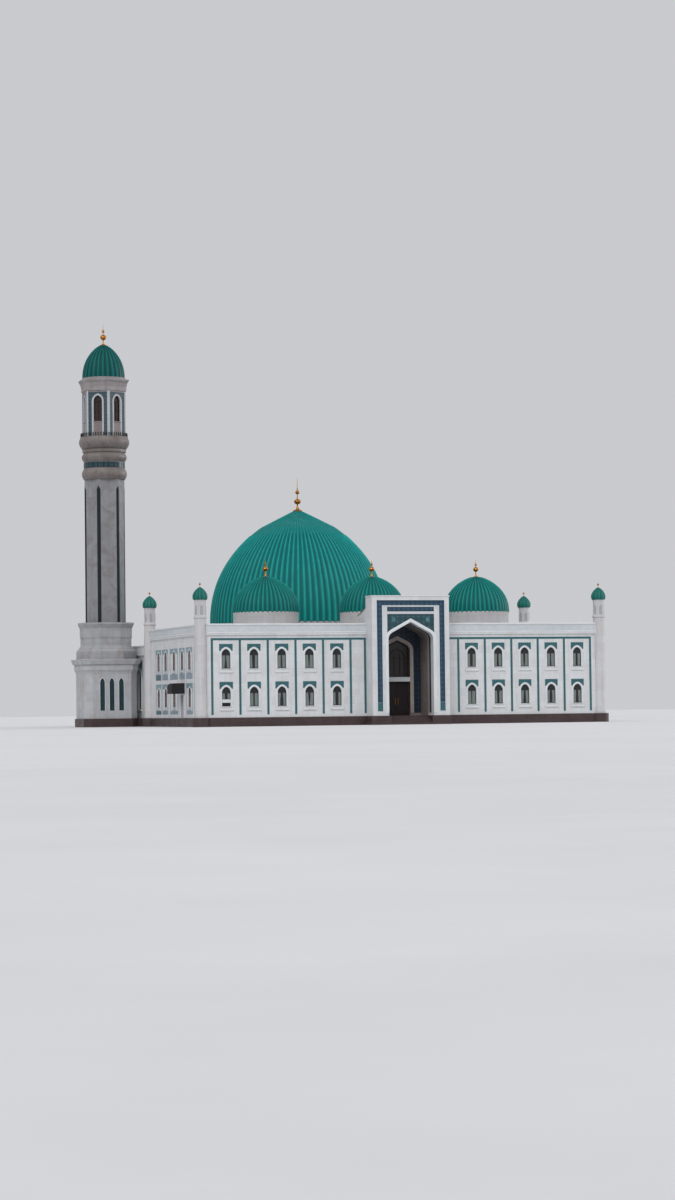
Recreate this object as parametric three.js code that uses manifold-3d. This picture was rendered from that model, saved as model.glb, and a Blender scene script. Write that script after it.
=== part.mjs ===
// A domed mosque: a two-storey front block with a tall arched portal and three small domes,
// a prayer hall behind it under one large dome, four corner turrets and a hexagonal minaret.
// Every size below is the real one in metres, and the model is built at half of it.
// X runs to the right of the facade, Y runs back from it and Z is up, with the ground at 0.

import * as THREE from "three";
import { mergeVertices } from "three/addons/utils/BufferGeometryUtils.js";
import Module from "manifold-3d";

const kernel = await Module();
kernel.setup();

const SCALE = 1 / 2;
const MILLIMETRES = 1000 * SCALE;
const GAP = 0.001;
const SWING_GAP = 0.012;

// Doors turn on a pin at the top and the foot, let into the lintel and the floor
const LEAF = 0.1;
const HINGE_GAP = 0.035;
const PIN = 0.03;
const PIN_DEPTH = 0.06;

// Plinth and footprint
const FLOOR_Z = 1.0;
const CENTRE_Y = 30.0;
const HALF_WIDTH = 23.64;
const WALL = 0.6;
const BLOCK_DEPTH = 25.1;
const HALL_BACK = 62.6;
const PLINTH_MARGIN = 0.16;
const TURRET_FOOT = 1.0;

// Front block
const STOREY = 4.2;
const PARAPET_Z = 11.4;
const CORNICE_Z = 10.15;
const CORNICE_OUT = 0.16;
const UPPER_FLOOR_Z = 5.3;
const UPPER_FLOOR = 0.3;
const ROOF_Z = 10.4;
const ROOF = 0.4;

// Windows of the front
const FRONT_FIRST = 7.99;
const FRONT_PITCH = 3.205;
const FRONT_BAYS = 5;
const FRONT_SILL = 2.2;
const FRONT_SPRING = 3.78;
const FRONT_APEX = 4.44;
const FRONT_HALF = 0.53;

// Windows of the sides, by their distance behind the facade
const SIDE_BAYS = [5.4, 8.85, 12.75, 16.9, 20.45];
const SIDE_DOOR_BAY = 1;
const SIDE_DOOR_Y = SIDE_BAYS[SIDE_DOOR_BAY];
const SIDE_SILL = 2.24;
const SIDE_SPRING = 3.75;
const SIDE_APEX = 4.47;
const SIDE_HALF = 0.6;
const SIDE_DOOR_HALF = 0.65;
const SIDE_DOOR_TOP = 3.6;

// Portal
const PORTAL_HALF = 4.55;
const PORTAL_OUT = 2.3;
const PORTAL_TOP = 14.45;
const ARCH_HALF = 2.65;
const ARCH_SPRING = 9.5;
const ARCH_APEX = 11.48;
const ARCH_HAUNCH = 0.35;
const REVEAL = 1.8;
const NICHE_HALF = 2.75;
const NICHE_BACK = 2.7;
const NICHE_WALL = 0.6;
const NICHE_OUTER_HALF = 3.4;
const CAP_HALF = 4.4;
const CAP_EAVE = 12.35;
const CAP_TOP = 13.2;
const DOORWAY_HALF = 1.48;
const DOORWAY_SPRING = 8.38;
const DOORWAY_APEX = 9.58;
const DOORWAY_HAUNCH = 0.5;
const LINTEL_BOTTOM = 4.86;
const LINTEL_TOP = 5.34;
const STEP_HALF = 2.42;
const STEPS = 5;
const STEP_RUN = 0.34;

// Canopy over the side door
const CANOPY_OUT = 1.5;
const CANOPY_LENGTH = 2.1;
const CANOPY_BOTTOM = 3.75;
const CANOPY_TOP = 4.92;
const CANOPY_ROUND = 0.45;

// Turrets at the four corners
const TURRET_FRONT_Y = 0.27;
const TURRET_BACK_Y = 24.83;
const TURRET_FOOT_RADIUS = 0.7;
const TURRET_TOP_RADIUS = 0.64;
const TURRET_RING_Z = 12.12;
const TURRET_TOP = 14.06;
const TURRET_DOME_RADIUS = 0.82;
const TURRET_DOME_HEIGHT = 1.38;
const TURRET_TIP = 15.95;

// Small domes over the front block
const SMALL_SPACING = 12.88;
const SMALL_Y = 12.0;
const SMALL_RADIUS = 3.83;
const SMALL_DRUM = 3.78;
const SMALL_BASE = 13.08;
const SMALL_TOP = 17.25;
const SMALL_TIP = 19.25;
const SMALL_SHELL = 0.22;
const SMALL_FINIAL = { foot: 0.3, ball: 0.3, ballZ: 18.1, bead: 0.14, beadZ: 18.65 };

// Prayer hall
const HALL_TOP = 9.7;
const HALL_CORNICE_Z = 8.45;
const HALL_ROOF_Z = 8.9;
const HALL_WINDOW_PITCH = 6.38;
const HALL_WINDOW_HALF = 0.8;
const HALL_WINDOW_SILL = 2.0;
const HALL_WINDOW_SPRING = 6.0;
const HALL_WINDOW_APEX = 7.05;
const PASSAGE_HALF = 2.0;
const PASSAGE_SPRING = 3.1;
const PASSAGE_APEX = 4.6;
const PASSAGE_SPACING = 9.0;

// Main dome
const MAIN_Y = 43.1;
const MAIN_RADIUS = 11.2;
const MAIN_DRUM = 11.0;
const MAIN_BASE = 12.75;
const MAIN_TOP = 27.1;
const MAIN_SHELL = 0.4;
const MAIN_TIP = 31.3;
const MAIN_FINIAL = { foot: 0.6, ball: 0.48, ballZ: 28.22, bead: 0.26, beadZ: 29.41 };

// Minaret
const TOWER_X = -27.52;
const TOWER_Y = 31.5;
const TOWER_BORE = 2.0;
const BASE_HALF = 3.2;
const BASE_CHAMFER = 0.85;
const BASE_WALL = 0.7;
const BASE_CORNICE_Z = 6.3;
const BASE_FRIEZE_Z = 6.82;
const BASE_FASCIA_Z = 7.48;
const BASE_TOP = 8.1;
const BASE_FRIEZE_OUT = 0.18;
const BASE_FASCIA_OUT = 0.33;
const BASE_CORNICE_OUT = 0.53;
const BASE_NICHE_HALF = 0.29;
const BASE_NICHE_PITCH = 1.15;
const BASE_NICHE_DEPTH = 0.35;
const BASE_NICHE_SILL = 1.96;
const BASE_NICHE_SPRING = 5.3;
const BASE_NICHE_APEX = 5.84;
const PEDESTAL_FOOT = 3.63;
const PEDESTAL_RADIUS = 3.11;
const PEDESTAL_CORNICE = 3.42;
const PEDESTAL_FLARE_Z = 9.05;
const PEDESTAL_NECK_Z = 9.75;
const PEDESTAL_BAND_Z = 10.68;
const PEDESTAL_CORNICE_Z = 11.8;
const PEDESTAL_TOP = 12.5;
const SHAFT_RADIUS = 2.45;
const SHAFT_TOP = 29.76;
const GALLERY_NECK = 2.46;
const GALLERY_RING = 2.7;
const GALLERY_RADIUS = 3.05;
const TILE_BAND_Z = 31.1;
const TILE_BAND_TOP = 31.98;
const SMALL_RING_Z = 33.25;
const GALLERY_FOOT = 33.5;
const GALLERY_TOP = 34.9;
const GALLERY_FLOOR = 0.3;
const HATCH = 0.5;
const LANTERN_RADIUS = 2.72;
const LANTERN_WALL = 0.35;
const LANTERN_SILL = 36.61;
const LANTERN_SPRING = 39.1;
const LANTERN_APEX = 39.8;
const LANTERN_HALF = 0.55;
const CROWN_Z = 40.4;
const CROWN_RADIUS = 2.86;
const CROWN_FLARE_Z = 40.85;
const CROWN_LIP = 3.2;
const CROWN_LIP_Z = 41.8;
const CROWN_RING = 2.62;
const CROWN_TOP = 42.03;
const TOWER_DOME_RADIUS = 2.53;
const TOWER_DOME_TOP = 46.16;
const TOWER_TIP = 48.65;
const TOWER_FINIAL = { foot: 0.36, ball: 0.36, ballZ: 47.02, bead: 0.17, beadZ: 47.74 };
const FINIAL_SINK = 0.1;

// Glazing
const GLASS = 0.06;
const GLASS_MARGIN = 0.25;

const ROUND = 40;
const TURRET_SIDES = 18;
const FINIAL_SIDES = 10;
const DOME_ROWS = 8;
const ONION_ROWS = 9;
const ONION_NECK = 0.08;
const ONION_START = 0.34;
const DOME_SWELL = 2.2;
const MAIN_CURVE = { fullness: 0.735, slope: 2.516, end: 1.0135 };
const SMALL_CURVE = { fullness: 0.65, slope: Infinity, end: 2 };
const TOWER_CURVE = { fullness: 0.72, slope: Infinity, end: 2 };
const HEXAGON = 6;
const OCTAGON = 8;
const QUARTER_TURN = Math.PI / 2;

const group = new THREE.Group();
group.name = "mosque_building";

// A closed geometry as a solid that can be joined and cut.
function solid(geometry) {
  const bare = new THREE.BufferGeometry();
  const loose = geometry.index ? geometry.toNonIndexed() : geometry;
  bare.setAttribute("position", loose.getAttribute("position"));
  const merged = mergeVertices(bare, 1e-5);
  const mesh = new kernel.Mesh({
    numProp: 3,
    vertProperties: new Float32Array(merged.attributes.position.array),
    triVerts: new Uint32Array(merged.index.array),
  });
  return new kernel.Manifold(mesh);
}

function box(x0, x1, y0, y1, z0, z1) {
  const geometry = new THREE.BoxGeometry(x1 - x0, y1 - y0, z1 - z0);
  geometry.translate((x0 + x1) / 2, (y0 + y1) / 2, (z0 + z1) / 2);
  return solid(geometry);
}

// A flat outline pushed up from z0 to z1.
function slab(points, z0, z1) {
  const shape = new THREE.Shape(points);
  const geometry = new THREE.ExtrudeGeometry(shape, { depth: z1 - z0, bevelEnabled: false });
  geometry.translate(0, 0, z0);
  return solid(geometry);
}

// An upright outline of x and z, pushed back from y0 to y1.
function upright(points, y0, y1) {
  return facing(points, y0, y1, 0, 0, 0);
}

// The same, then turned and moved to stand about an axis at x and y.
function facing(points, y0, y1, turn, x, y) {
  const shape = new THREE.Shape(points);
  const geometry = new THREE.ExtrudeGeometry(shape, { depth: y1 - y0, bevelEnabled: false });
  geometry.rotateX(QUARTER_TURN);
  geometry.translate(0, y1, 0);
  geometry.rotateZ(turn);
  geometry.translate(x, y, 0);
  return solid(geometry);
}

// An upright outline of y and z, pushed across from x0 to x1.
function sideways(points, x0, x1) {
  const shape = new THREE.Shape(points);
  const geometry = new THREE.ExtrudeGeometry(shape, { depth: x1 - x0, bevelEnabled: false });
  geometry.rotateX(QUARTER_TURN);
  geometry.rotateZ(QUARTER_TURN);
  geometry.translate(x0, 0, 0);
  return solid(geometry);
}

// A flat outline pushed up and spread from the tower's axis, so that its top is the larger.
function flared(points, z0, z1, spread) {
  const shape = new THREE.Shape(points);
  const geometry = new THREE.ExtrudeGeometry(shape, { depth: z1 - z0, bevelEnabled: false });
  const position = geometry.getAttribute("position");
  for (let i = 0; i < position.count; i += 1) {
    const factor = position.getZ(i) > (z1 - z0) / 2 ? spread : 1;
    position.setX(i, TOWER_X + (position.getX(i) - TOWER_X) * factor);
    position.setY(i, TOWER_Y + (position.getY(i) - TOWER_Y) * factor);
  }
  geometry.translate(0, 0, z0);
  return solid(geometry);
}

// A profile of radius and height turned about an upright axis, with flat sides when there are few.
function turned(profile, x, y, sides, firstCorner = 0) {
  const points = profile.map(([radius, height]) => new THREE.Vector2(radius, height));
  const geometry = new THREE.LatheGeometry(points, sides, firstCorner, 2 * Math.PI);
  geometry.rotateX(QUARTER_TURN);
  geometry.translate(x, y, 0);
  return solid(geometry);
}

// A two-centred pointed opening.
function pointedArch(half, sill, spring, apex, centre = 0) {
  const rise = apex - spring;
  const radius = (half * half + rise * rise) / (2 * half);
  const sweep = Math.atan2(rise, radius - half);
  const count = 5;
  const points = [new THREE.Vector2(centre - half, sill), new THREE.Vector2(centre + half, sill)];
  for (let i = 0; i <= count; i += 1) {
    const angle = (sweep * i) / count;
    const reach = half - radius + radius * Math.cos(angle);
    points.push(new THREE.Vector2(centre + reach, spring + radius * Math.sin(angle)));
  }
  for (let i = count - 1; i >= 0; i -= 1) {
    const angle = (sweep * i) / count;
    const reach = half - radius + radius * Math.cos(angle);
    points.push(new THREE.Vector2(centre - reach, spring + radius * Math.sin(angle)));
  }
  return points;
}

// A keel arch: a tight curve at each haunch, given as a share of its half width, then a straight
// slope to the apex.
function keelArch(half, sill, spring, apex, haunch) {
  const radius = half * haunch;
  const centreX = half - radius;
  const rise = apex - spring;
  const reach = Math.hypot(centreX, rise);
  const start = Math.acos(radius / reach);
  const aim = Math.atan2(rise, -centreX);
  const sweep = aim - start;
  const count = 8;
  const right = [];
  for (let i = 0; i <= count; i += 1) {
    const angle = (sweep * i) / count;
    right.push(new THREE.Vector2(centreX + radius * Math.cos(angle), spring + radius * Math.sin(angle)));
  }
  const left = right.map((p) => new THREE.Vector2(-p.x, p.y)).reverse();
  return [
    new THREE.Vector2(-half, sill),
    new THREE.Vector2(half, sill),
    ...right,
    new THREE.Vector2(0, apex),
    ...left,
  ];
}

// Radius of a dome at a share of its height: full near the foot, and straight at the shoulder
// where the curve has a slope.
function domeRadius(radius, share, curve) {
  const round = Math.pow(1 - Math.pow(share, DOME_SWELL), curve.fullness);
  return radius * Math.min(round, curve.slope * (curve.end - share));
}

function domeProfile(radius, base, top, shell, curve) {
  const outer = [];
  const inner = [];
  for (let i = 0; i < DOME_ROWS; i += 1) {
    const share = Math.sin((QUARTER_TURN * i) / DOME_ROWS);
    outer.push([domeRadius(radius, share, curve), base + (top - base) * share]);
    inner.push([domeRadius(radius - shell, share, curve), base + (top - shell - base) * share]);
  }
  return [[0, top - shell], ...inner.reverse(), ...outer, [0, top]];
}

function addPiece(name, part, side = 1) {
  const source = part.getMesh();
  const geometry = new THREE.BufferGeometry();
  const positions = new Float32Array(source.numVert * 3);
  for (let i = 0; i < source.numVert; i += 1) {
    for (let k = 0; k < 3; k += 1) {
      positions[i * 3 + k] = source.vertProperties[i * source.numProp + k];
    }
    positions[i * 3] *= side;
  }
  const faces = new Uint32Array(source.triVerts);
  if (side < 0) faces.reverse();
  geometry.setAttribute("position", new THREE.BufferAttribute(positions, 3));
  geometry.setIndex(new THREE.BufferAttribute(faces, 1));
  geometry.translate(0, -CENTRE_Y, 0);
  geometry.scale(MILLIMETRES, MILLIMETRES, MILLIMETRES);
  const mesh = new THREE.Mesh(geometry);
  mesh.name = name;
  group.add(mesh);
}

function cylinder(x, y, radius, z0, z1) {
  return turned([[0, z0], [radius, z0], [radius, z1], [0, z1]], x, y, ROUND);
}

// The room that a turret takes out of the walls it stands between.
function turretSockets() {
  const radius = TURRET_FOOT_RADIUS + 2 * GAP;
  let room = null;
  for (const x of [-HALF_WIDTH, HALF_WIDTH]) {
    for (const y of [TURRET_FRONT_Y, TURRET_BACK_Y]) {
      const profile = [[0, 0], [radius, 0], [radius, PORTAL_TOP], [0, PORTAL_TOP]];
      const socket = turned(profile, x, y, TURRET_SIDES);
      room = room ? room.add(socket) : socket;
    }
  }
  return room;
}

// A square about the tower's axis with its corners cut off.
function chamferedSquare(half, chamfer) {
  const inner = half - chamfer;
  const corners = [[inner, -half], [half, -inner], [half, inner], [inner, half],
    [-inner, half], [-half, inner], [-half, -inner], [-inner, -half]];
  return corners.map(([dx, dy]) => new THREE.Vector2(TOWER_X + dx, TOWER_Y + dy));
}

const sockets = turretSockets();

const PORTAL_HINGE = {
  x: -DOORWAY_HALF + HINGE_GAP + LEAF / 2,
  y: NICHE_BACK + NICHE_WALL - SWING_GAP - LEAF / 2,
};
const SIDE_HINGE = {
  x: -HALF_WIDTH + WALL - SWING_GAP - LEAF / 2,
  y: SIDE_DOOR_Y - SIDE_DOOR_HALF + HINGE_GAP + LEAF / 2,
};

// The two pins of a leaf, or, with some slack, the holes that they turn in.
function pins(hinge, top, slack) {
  const profile = (z0, z1) => [[0, z0], [PIN + slack, z0], [PIN + slack, z1], [0, z1]];
  const deep = PIN_DEPTH + slack;
  const foot = turned(profile(FLOOR_Z - deep, FLOOR_Z + 2 * SWING_GAP), hinge.x, hinge.y, TURRET_SIDES);
  const head = turned(profile(top - 2 * SWING_GAP, top + deep), hinge.x, hinge.y, TURRET_SIDES);
  return foot.add(head);
}

function pinHoles() {
  const portalHoles = pins(PORTAL_HINGE, LINTEL_BOTTOM, GAP);
  const opposite = pins({ x: -PORTAL_HINGE.x, y: PORTAL_HINGE.y }, LINTEL_BOTTOM, GAP);
  return portalHoles.add(opposite).add(pins(SIDE_HINGE, SIDE_DOOR_TOP, GAP));
}

// Plinth of the walls, the turrets and the minaret.
function plinth() {
  const outer = HALF_WIDTH + PLINTH_MARGIN;
  let body = box(-outer, outer, -PLINTH_MARGIN, HALL_BACK + PLINTH_MARGIN, 0, FLOOR_Z);
  for (const x of [-HALF_WIDTH, HALF_WIDTH]) {
    for (const y of [TURRET_FRONT_Y, TURRET_BACK_Y]) {
      body = body.add(cylinder(x, y, TURRET_FOOT, 0, FLOOR_Z));
    }
  }
  const tower = chamferedSquare(BASE_HALF + PLINTH_MARGIN, BASE_CHAMFER);
  body = body.add(slab(tower, 0, FLOOR_Z));
  const link = BASE_HALF + PLINTH_MARGIN - BASE_CHAMFER;
  body = body.add(box(TOWER_X, -outer + 1, TOWER_Y - link, TOWER_Y + link, 0, FLOOR_Z));
  return body.subtract(pinHoles());
}

// The foot of the portal, with the steps cut into its middle.
function portalSteps() {
  const front = -PORTAL_OUT - PLINTH_MARGIN;
  const rise = FLOOR_Z / STEPS;
  const outer = PORTAL_HALF + PLINTH_MARGIN;
  const foot = box(-outer, outer, front, -PLINTH_MARGIN - GAP, 0, FLOOR_Z);
  const points = [new THREE.Vector2(front - 1, rise)];
  for (let i = 1; i < STEPS; i += 1) {
    points.push(new THREE.Vector2(front + i * STEP_RUN, i * rise));
    points.push(new THREE.Vector2(front + i * STEP_RUN, (i + 1) * rise));
  }
  points[points.length - 1].y += 1;
  points.push(new THREE.Vector2(front - 1, FLOOR_Z + 1));
  return foot.subtract(sideways(points, -STEP_HALF, STEP_HALF));
}

function frontWindows(y0, y1) {
  let cuts = null;
  for (let bay = 0; bay < FRONT_BAYS; bay += 1) {
    for (const lift of [0, STOREY]) {
      const arch = pointedArch(
        FRONT_HALF, FRONT_SILL + lift, FRONT_SPRING + lift, FRONT_APEX + lift,
        -FRONT_FIRST - bay * FRONT_PITCH,
      );
      const cut = upright(arch, y0, y1);
      cuts = cuts ? cuts.add(cut) : cut;
    }
  }
  return cuts;
}

function frontWall() {
  const inner = -NICHE_OUTER_HALF - GAP;
  let wall = box(-HALF_WIDTH, inner, 0, WALL, FLOOR_Z + GAP, PARAPET_Z);
  const cornice = box(-HALF_WIDTH, -PORTAL_HALF - GAP, -CORNICE_OUT, WALL, CORNICE_Z, PARAPET_Z);
  wall = wall.add(cornice);
  return wall.subtract(frontWindows(-1, 2)).subtract(sockets);
}

function sideWindows(skip) {
  let cuts = null;
  SIDE_BAYS.forEach((y, bay) => {
    for (const lift of [0, STOREY]) {
      if (bay === skip && lift === 0) continue;
      const arch = pointedArch(
        SIDE_HALF, SIDE_SILL + lift, SIDE_SPRING + lift, SIDE_APEX + lift, y,
      );
      const cut = sideways(arch, -HALF_WIDTH - 1, -HALF_WIDTH + 1);
      cuts = cuts ? cuts.add(cut) : cut;
    }
  });
  return cuts;
}

function sideWall(skip) {
  const front = WALL + GAP;
  const back = BLOCK_DEPTH - WALL - GAP;
  let wall = box(-HALF_WIDTH, -HALF_WIDTH + WALL, front, back, FLOOR_Z + GAP, PARAPET_Z);
  wall = wall.add(box(-HALF_WIDTH - CORNICE_OUT, -HALF_WIDTH + WALL, front, back, CORNICE_Z, PARAPET_Z));
  return wall.subtract(sideWindows(skip)).subtract(sockets);
}

function sideDoorway() {
  return box(
    -HALF_WIDTH - 1, -HALF_WIDTH + 1,
    SIDE_DOOR_Y - SIDE_DOOR_HALF, SIDE_DOOR_Y + SIDE_DOOR_HALF, 0, SIDE_DOOR_TOP,
  );
}

function blockBackWall() {
  const front = BLOCK_DEPTH - WALL;
  let wall = box(-HALF_WIDTH, HALF_WIDTH, front, BLOCK_DEPTH, FLOOR_Z + GAP, PARAPET_Z);
  for (const x of [-PASSAGE_SPACING, 0, PASSAGE_SPACING]) {
    const arch = pointedArch(PASSAGE_HALF, 0, PASSAGE_SPRING, PASSAGE_APEX, x);
    wall = wall.subtract(upright(arch, front - 1, BLOCK_DEPTH + 1));
  }
  return wall.subtract(sockets);
}

// The room inside the front block's walls, less what the portal niche takes.
function blockPlate(z0, z1) {
  const inner = HALF_WIDTH - WALL - GAP;
  const plate = box(-inner, inner, WALL + GAP, BLOCK_DEPTH - WALL - GAP, z0, z1);
  const niche = box(
    -NICHE_OUTER_HALF - GAP, NICHE_OUTER_HALF + GAP, -1, NICHE_BACK + NICHE_WALL + GAP, z0 - 1, z1 + 1,
  );
  return plate.subtract(niche).subtract(sockets);
}

function frontRoof() {
  let roof = blockPlate(ROOF_Z - ROOF, ROOF_Z);
  for (const x of [-SMALL_SPACING, 0, SMALL_SPACING]) {
    roof = roof.subtract(cylinder(x, SMALL_Y, SMALL_DRUM - 2 * SMALL_SHELL, 0, SMALL_TOP));
  }
  return roof;
}

// A ring of wall that carries a dome.
function drum(x, y, radius, wall, z0, z1) {
  const inner = radius - wall;
  return turned([[inner, z0], [radius, z0], [radius, z1], [inner, z1], [inner, z0]], x, y, ROUND);
}

function smallDrum(x) {
  return drum(x, SMALL_Y, SMALL_DRUM, 2 * SMALL_SHELL, ROOF_Z + GAP, SMALL_BASE - GAP);
}

function portal() {
  const front = -PORTAL_OUT;
  let block = box(-PORTAL_HALF, PORTAL_HALF, front, -GAP, FLOOR_Z + GAP, PORTAL_TOP);
  const arch = keelArch(ARCH_HALF, 0, ARCH_SPRING, ARCH_APEX, ARCH_HAUNCH);
  const widening = NICHE_HALF - ARCH_HALF;
  const room = keelArch(NICHE_HALF, 0, ARCH_SPRING, ARCH_APEX + widening, ARCH_HAUNCH);
  block = block.subtract(upright(arch, front - 1, 1));
  return block.subtract(upright(room, front + REVEAL, 1));
}

// The walls of the niche, and behind the portal a cap that slopes back to the roof.
function portalNiche() {
  const back = NICHE_BACK + NICHE_WALL;
  let shell = box(-NICHE_OUTER_HALF, NICHE_OUTER_HALF, 0, back, FLOOR_Z + GAP, CAP_EAVE);
  const slope = [
    new THREE.Vector2(0, PARAPET_Z + GAP),
    new THREE.Vector2(WALL + GAP, PARAPET_Z + GAP),
    new THREE.Vector2(WALL + GAP, ROOF_Z + GAP),
    new THREE.Vector2(back, ROOF_Z + GAP),
    new THREE.Vector2(back, CAP_EAVE),
    new THREE.Vector2(0, CAP_TOP),
  ];
  shell = shell.add(sideways(slope, -CAP_HALF, CAP_HALF));
  const widening = NICHE_HALF - ARCH_HALF;
  const room = keelArch(NICHE_HALF, 0, ARCH_SPRING, ARCH_APEX + widening, ARCH_HAUNCH);
  const doorway = keelArch(DOORWAY_HALF, 0, DOORWAY_SPRING, DOORWAY_APEX, DOORWAY_HAUNCH);
  shell = shell.subtract(upright(room, -1, NICHE_BACK));
  shell = shell.subtract(upright(doorway, NICHE_BACK - 1, back + 1));
  shell = shell.add(box(-NICHE_HALF, NICHE_HALF, NICHE_BACK, back, LINTEL_BOTTOM, LINTEL_TOP));
  return shell.subtract(pinHoles());
}

function portalLeaf() {
  const back = NICHE_BACK + NICHE_WALL - SWING_GAP;
  const leaf = box(
    -DOORWAY_HALF + HINGE_GAP, -SWING_GAP,
    back - LEAF, back, FLOOR_Z + SWING_GAP, LINTEL_BOTTOM - SWING_GAP,
  );
  return leaf.add(pins(PORTAL_HINGE, LINTEL_BOTTOM, 0));
}

function portalWindow() {
  const middle = NICHE_BACK + NICHE_WALL / 2;
  const pane = keelArch(
    DOORWAY_HALF - GAP, LINTEL_TOP + GAP, DOORWAY_SPRING, DOORWAY_APEX - 2 * GAP, DOORWAY_HAUNCH,
  );
  return upright(pane, middle - GLASS / 2, middle + GLASS / 2);
}

function sideDoor() {
  const inner = -HALF_WIDTH + WALL - SWING_GAP;
  const leaf = box(
    inner - LEAF, inner,
    SIDE_DOOR_Y - SIDE_DOOR_HALF + HINGE_GAP, SIDE_DOOR_Y + SIDE_DOOR_HALF - SWING_GAP,
    FLOOR_Z + SWING_GAP, SIDE_DOOR_TOP - SWING_GAP,
  );
  return leaf.add(pins(SIDE_HINGE, SIDE_DOOR_TOP, 0));
}

function canopy() {
  const wall = -HALF_WIDTH - GAP;
  const outer = wall - CANOPY_OUT;
  const points = [
    new THREE.Vector2(outer, CANOPY_BOTTOM),
    new THREE.Vector2(wall, CANOPY_BOTTOM),
    new THREE.Vector2(wall, CANOPY_TOP),
  ];
  const count = 8;
  for (let i = 0; i <= count; i += 1) {
    const angle = (QUARTER_TURN * i) / count;
    points.push(new THREE.Vector2(
      outer + CANOPY_ROUND - CANOPY_ROUND * Math.sin(angle),
      CANOPY_TOP - CANOPY_ROUND + CANOPY_ROUND * Math.cos(angle),
    ));
  }
  return upright(points, SIDE_DOOR_Y - CANOPY_LENGTH / 2, SIDE_DOOR_Y + CANOPY_LENGTH / 2);
}

// One sheet behind the windows of a storey, turning the corner from the front to the side.
function storeyGlass(lift) {
  const bottom = FRONT_SILL - GLASS_MARGIN + lift;
  const top = SIDE_APEX + GLASS_MARGIN + lift;
  const inner = -HALF_WIDTH + WALL + GAP;
  const front = WALL + GAP;
  const firstBay = -FRONT_FIRST + FRONT_HALF + GLASS_MARGIN;
  const sideBack = SIDE_BAYS[SIDE_BAYS.length - 1] + SIDE_HALF + GLASS_MARGIN;
  const frontSheet = box(inner, firstBay, front, front + GLASS, bottom, top);
  const sideSheet = box(inner, inner + GLASS, front, sideBack, bottom, top);
  return frontSheet.add(sideSheet).subtract(sockets);
}

function hallWindow(centre) {
  return pointedArch(
    HALL_WINDOW_HALF, HALL_WINDOW_SILL, HALL_WINDOW_SPRING, HALL_WINDOW_APEX, centre,
  );
}

function hallWalls() {
  const front = BLOCK_DEPTH + GAP;
  const outer = HALF_WIDTH;
  const inner = HALF_WIDTH - WALL;
  const lip = HALF_WIDTH + CORNICE_OUT;
  let walls = box(-outer, outer, front, HALL_BACK, FLOOR_Z + GAP, HALL_TOP);
  walls = walls.add(box(-lip, lip, front, HALL_BACK + CORNICE_OUT, HALL_CORNICE_Z, HALL_TOP));
  walls = walls.subtract(box(-inner, inner, front - 1, HALL_BACK - WALL, 0, HALL_TOP + 1));
  for (let k = -2; k <= 2; k += 1) {
    const step = k * HALL_WINDOW_PITCH;
    walls = walls.subtract(sideways(hallWindow(MAIN_Y + step), -HALF_WIDTH - 1, HALF_WIDTH + 1));
    walls = walls.subtract(upright(hallWindow(step), HALL_BACK - 2, HALL_BACK + 2));
  }
  return walls.subtract(sockets);
}

function hallGlass() {
  const inner = HALF_WIDTH - WALL - GAP;
  const back = HALL_BACK - WALL - GAP;
  const front = MAIN_Y - 2 * HALL_WINDOW_PITCH - HALL_WINDOW_HALF - GLASS_MARGIN;
  const bottom = HALL_WINDOW_SILL - GLASS_MARGIN;
  const top = HALL_WINDOW_APEX + GLASS_MARGIN;
  const outside = box(-inner, inner, front, back, bottom, top);
  return outside.subtract(box(-inner + GLASS, inner - GLASS, 0, back - GLASS, 0, HALL_TOP));
}

function hallRoof() {
  const inner = HALF_WIDTH - WALL - GAP;
  const back = HALL_BACK - WALL - GAP;
  const roof = box(-inner, inner, BLOCK_DEPTH + GAP, back, HALL_ROOF_Z - ROOF, HALL_ROOF_Z);
  return roof.subtract(sockets).subtract(cylinder(0, MAIN_Y, MAIN_DRUM - 2 * MAIN_SHELL, 0, MAIN_TOP));
}

function mainDrum() {
  return drum(0, MAIN_Y, MAIN_DRUM, 2 * MAIN_SHELL, HALL_ROOF_Z + GAP, MAIN_BASE - GAP);
}

// The outline of a ball on its stem, from below to above.
function ballProfile(radius, height) {
  const count = 6;
  const limit = QUARTER_TURN * 0.8;
  const points = [];
  for (let i = 0; i <= count; i += 1) {
    const angle = -limit + (2 * limit * i) / count;
    points.push([radius * Math.cos(angle), height + radius * Math.sin(angle)]);
  }
  return points;
}

// A plate, a ball, a bead and a spike, standing a little way down in the top of a dome.
function finial(sizes, domeTop, tip, x, y) {
  const base = domeTop - FINIAL_SINK;
  const plate = 2 * FINIAL_SINK;
  const stem = sizes.foot * 0.25;
  const needle = sizes.bead * 0.3;
  const profile = [
    [0, base],
    [sizes.foot, base],
    [sizes.foot * 0.9, base + plate],
    [stem, base + 2 * plate],
    ...ballProfile(sizes.ball, sizes.ballZ),
    ...ballProfile(sizes.bead, sizes.beadZ),
    [needle, sizes.beadZ + 2 * sizes.bead],
    [needle * 0.7, tip - sizes.bead],
    [0, tip],
  ];
  return turned(profile, x, y, FINIAL_SIDES);
}

function mainDome() {
  const profile = domeProfile(MAIN_RADIUS, MAIN_BASE, MAIN_TOP, MAIN_SHELL, MAIN_CURVE);
  const dome = turned(profile, 0, MAIN_Y, ROUND);
  return dome.add(finial(MAIN_FINIAL, MAIN_TOP, MAIN_TIP, 0, MAIN_Y));
}

function smallDome(x) {
  const profile = domeProfile(SMALL_RADIUS, SMALL_BASE, SMALL_TOP, SMALL_SHELL, SMALL_CURVE);
  const dome = turned(profile, x, SMALL_Y, ROUND);
  return dome.add(finial(SMALL_FINIAL, SMALL_TOP, SMALL_TIP, x, SMALL_Y));
}

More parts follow.
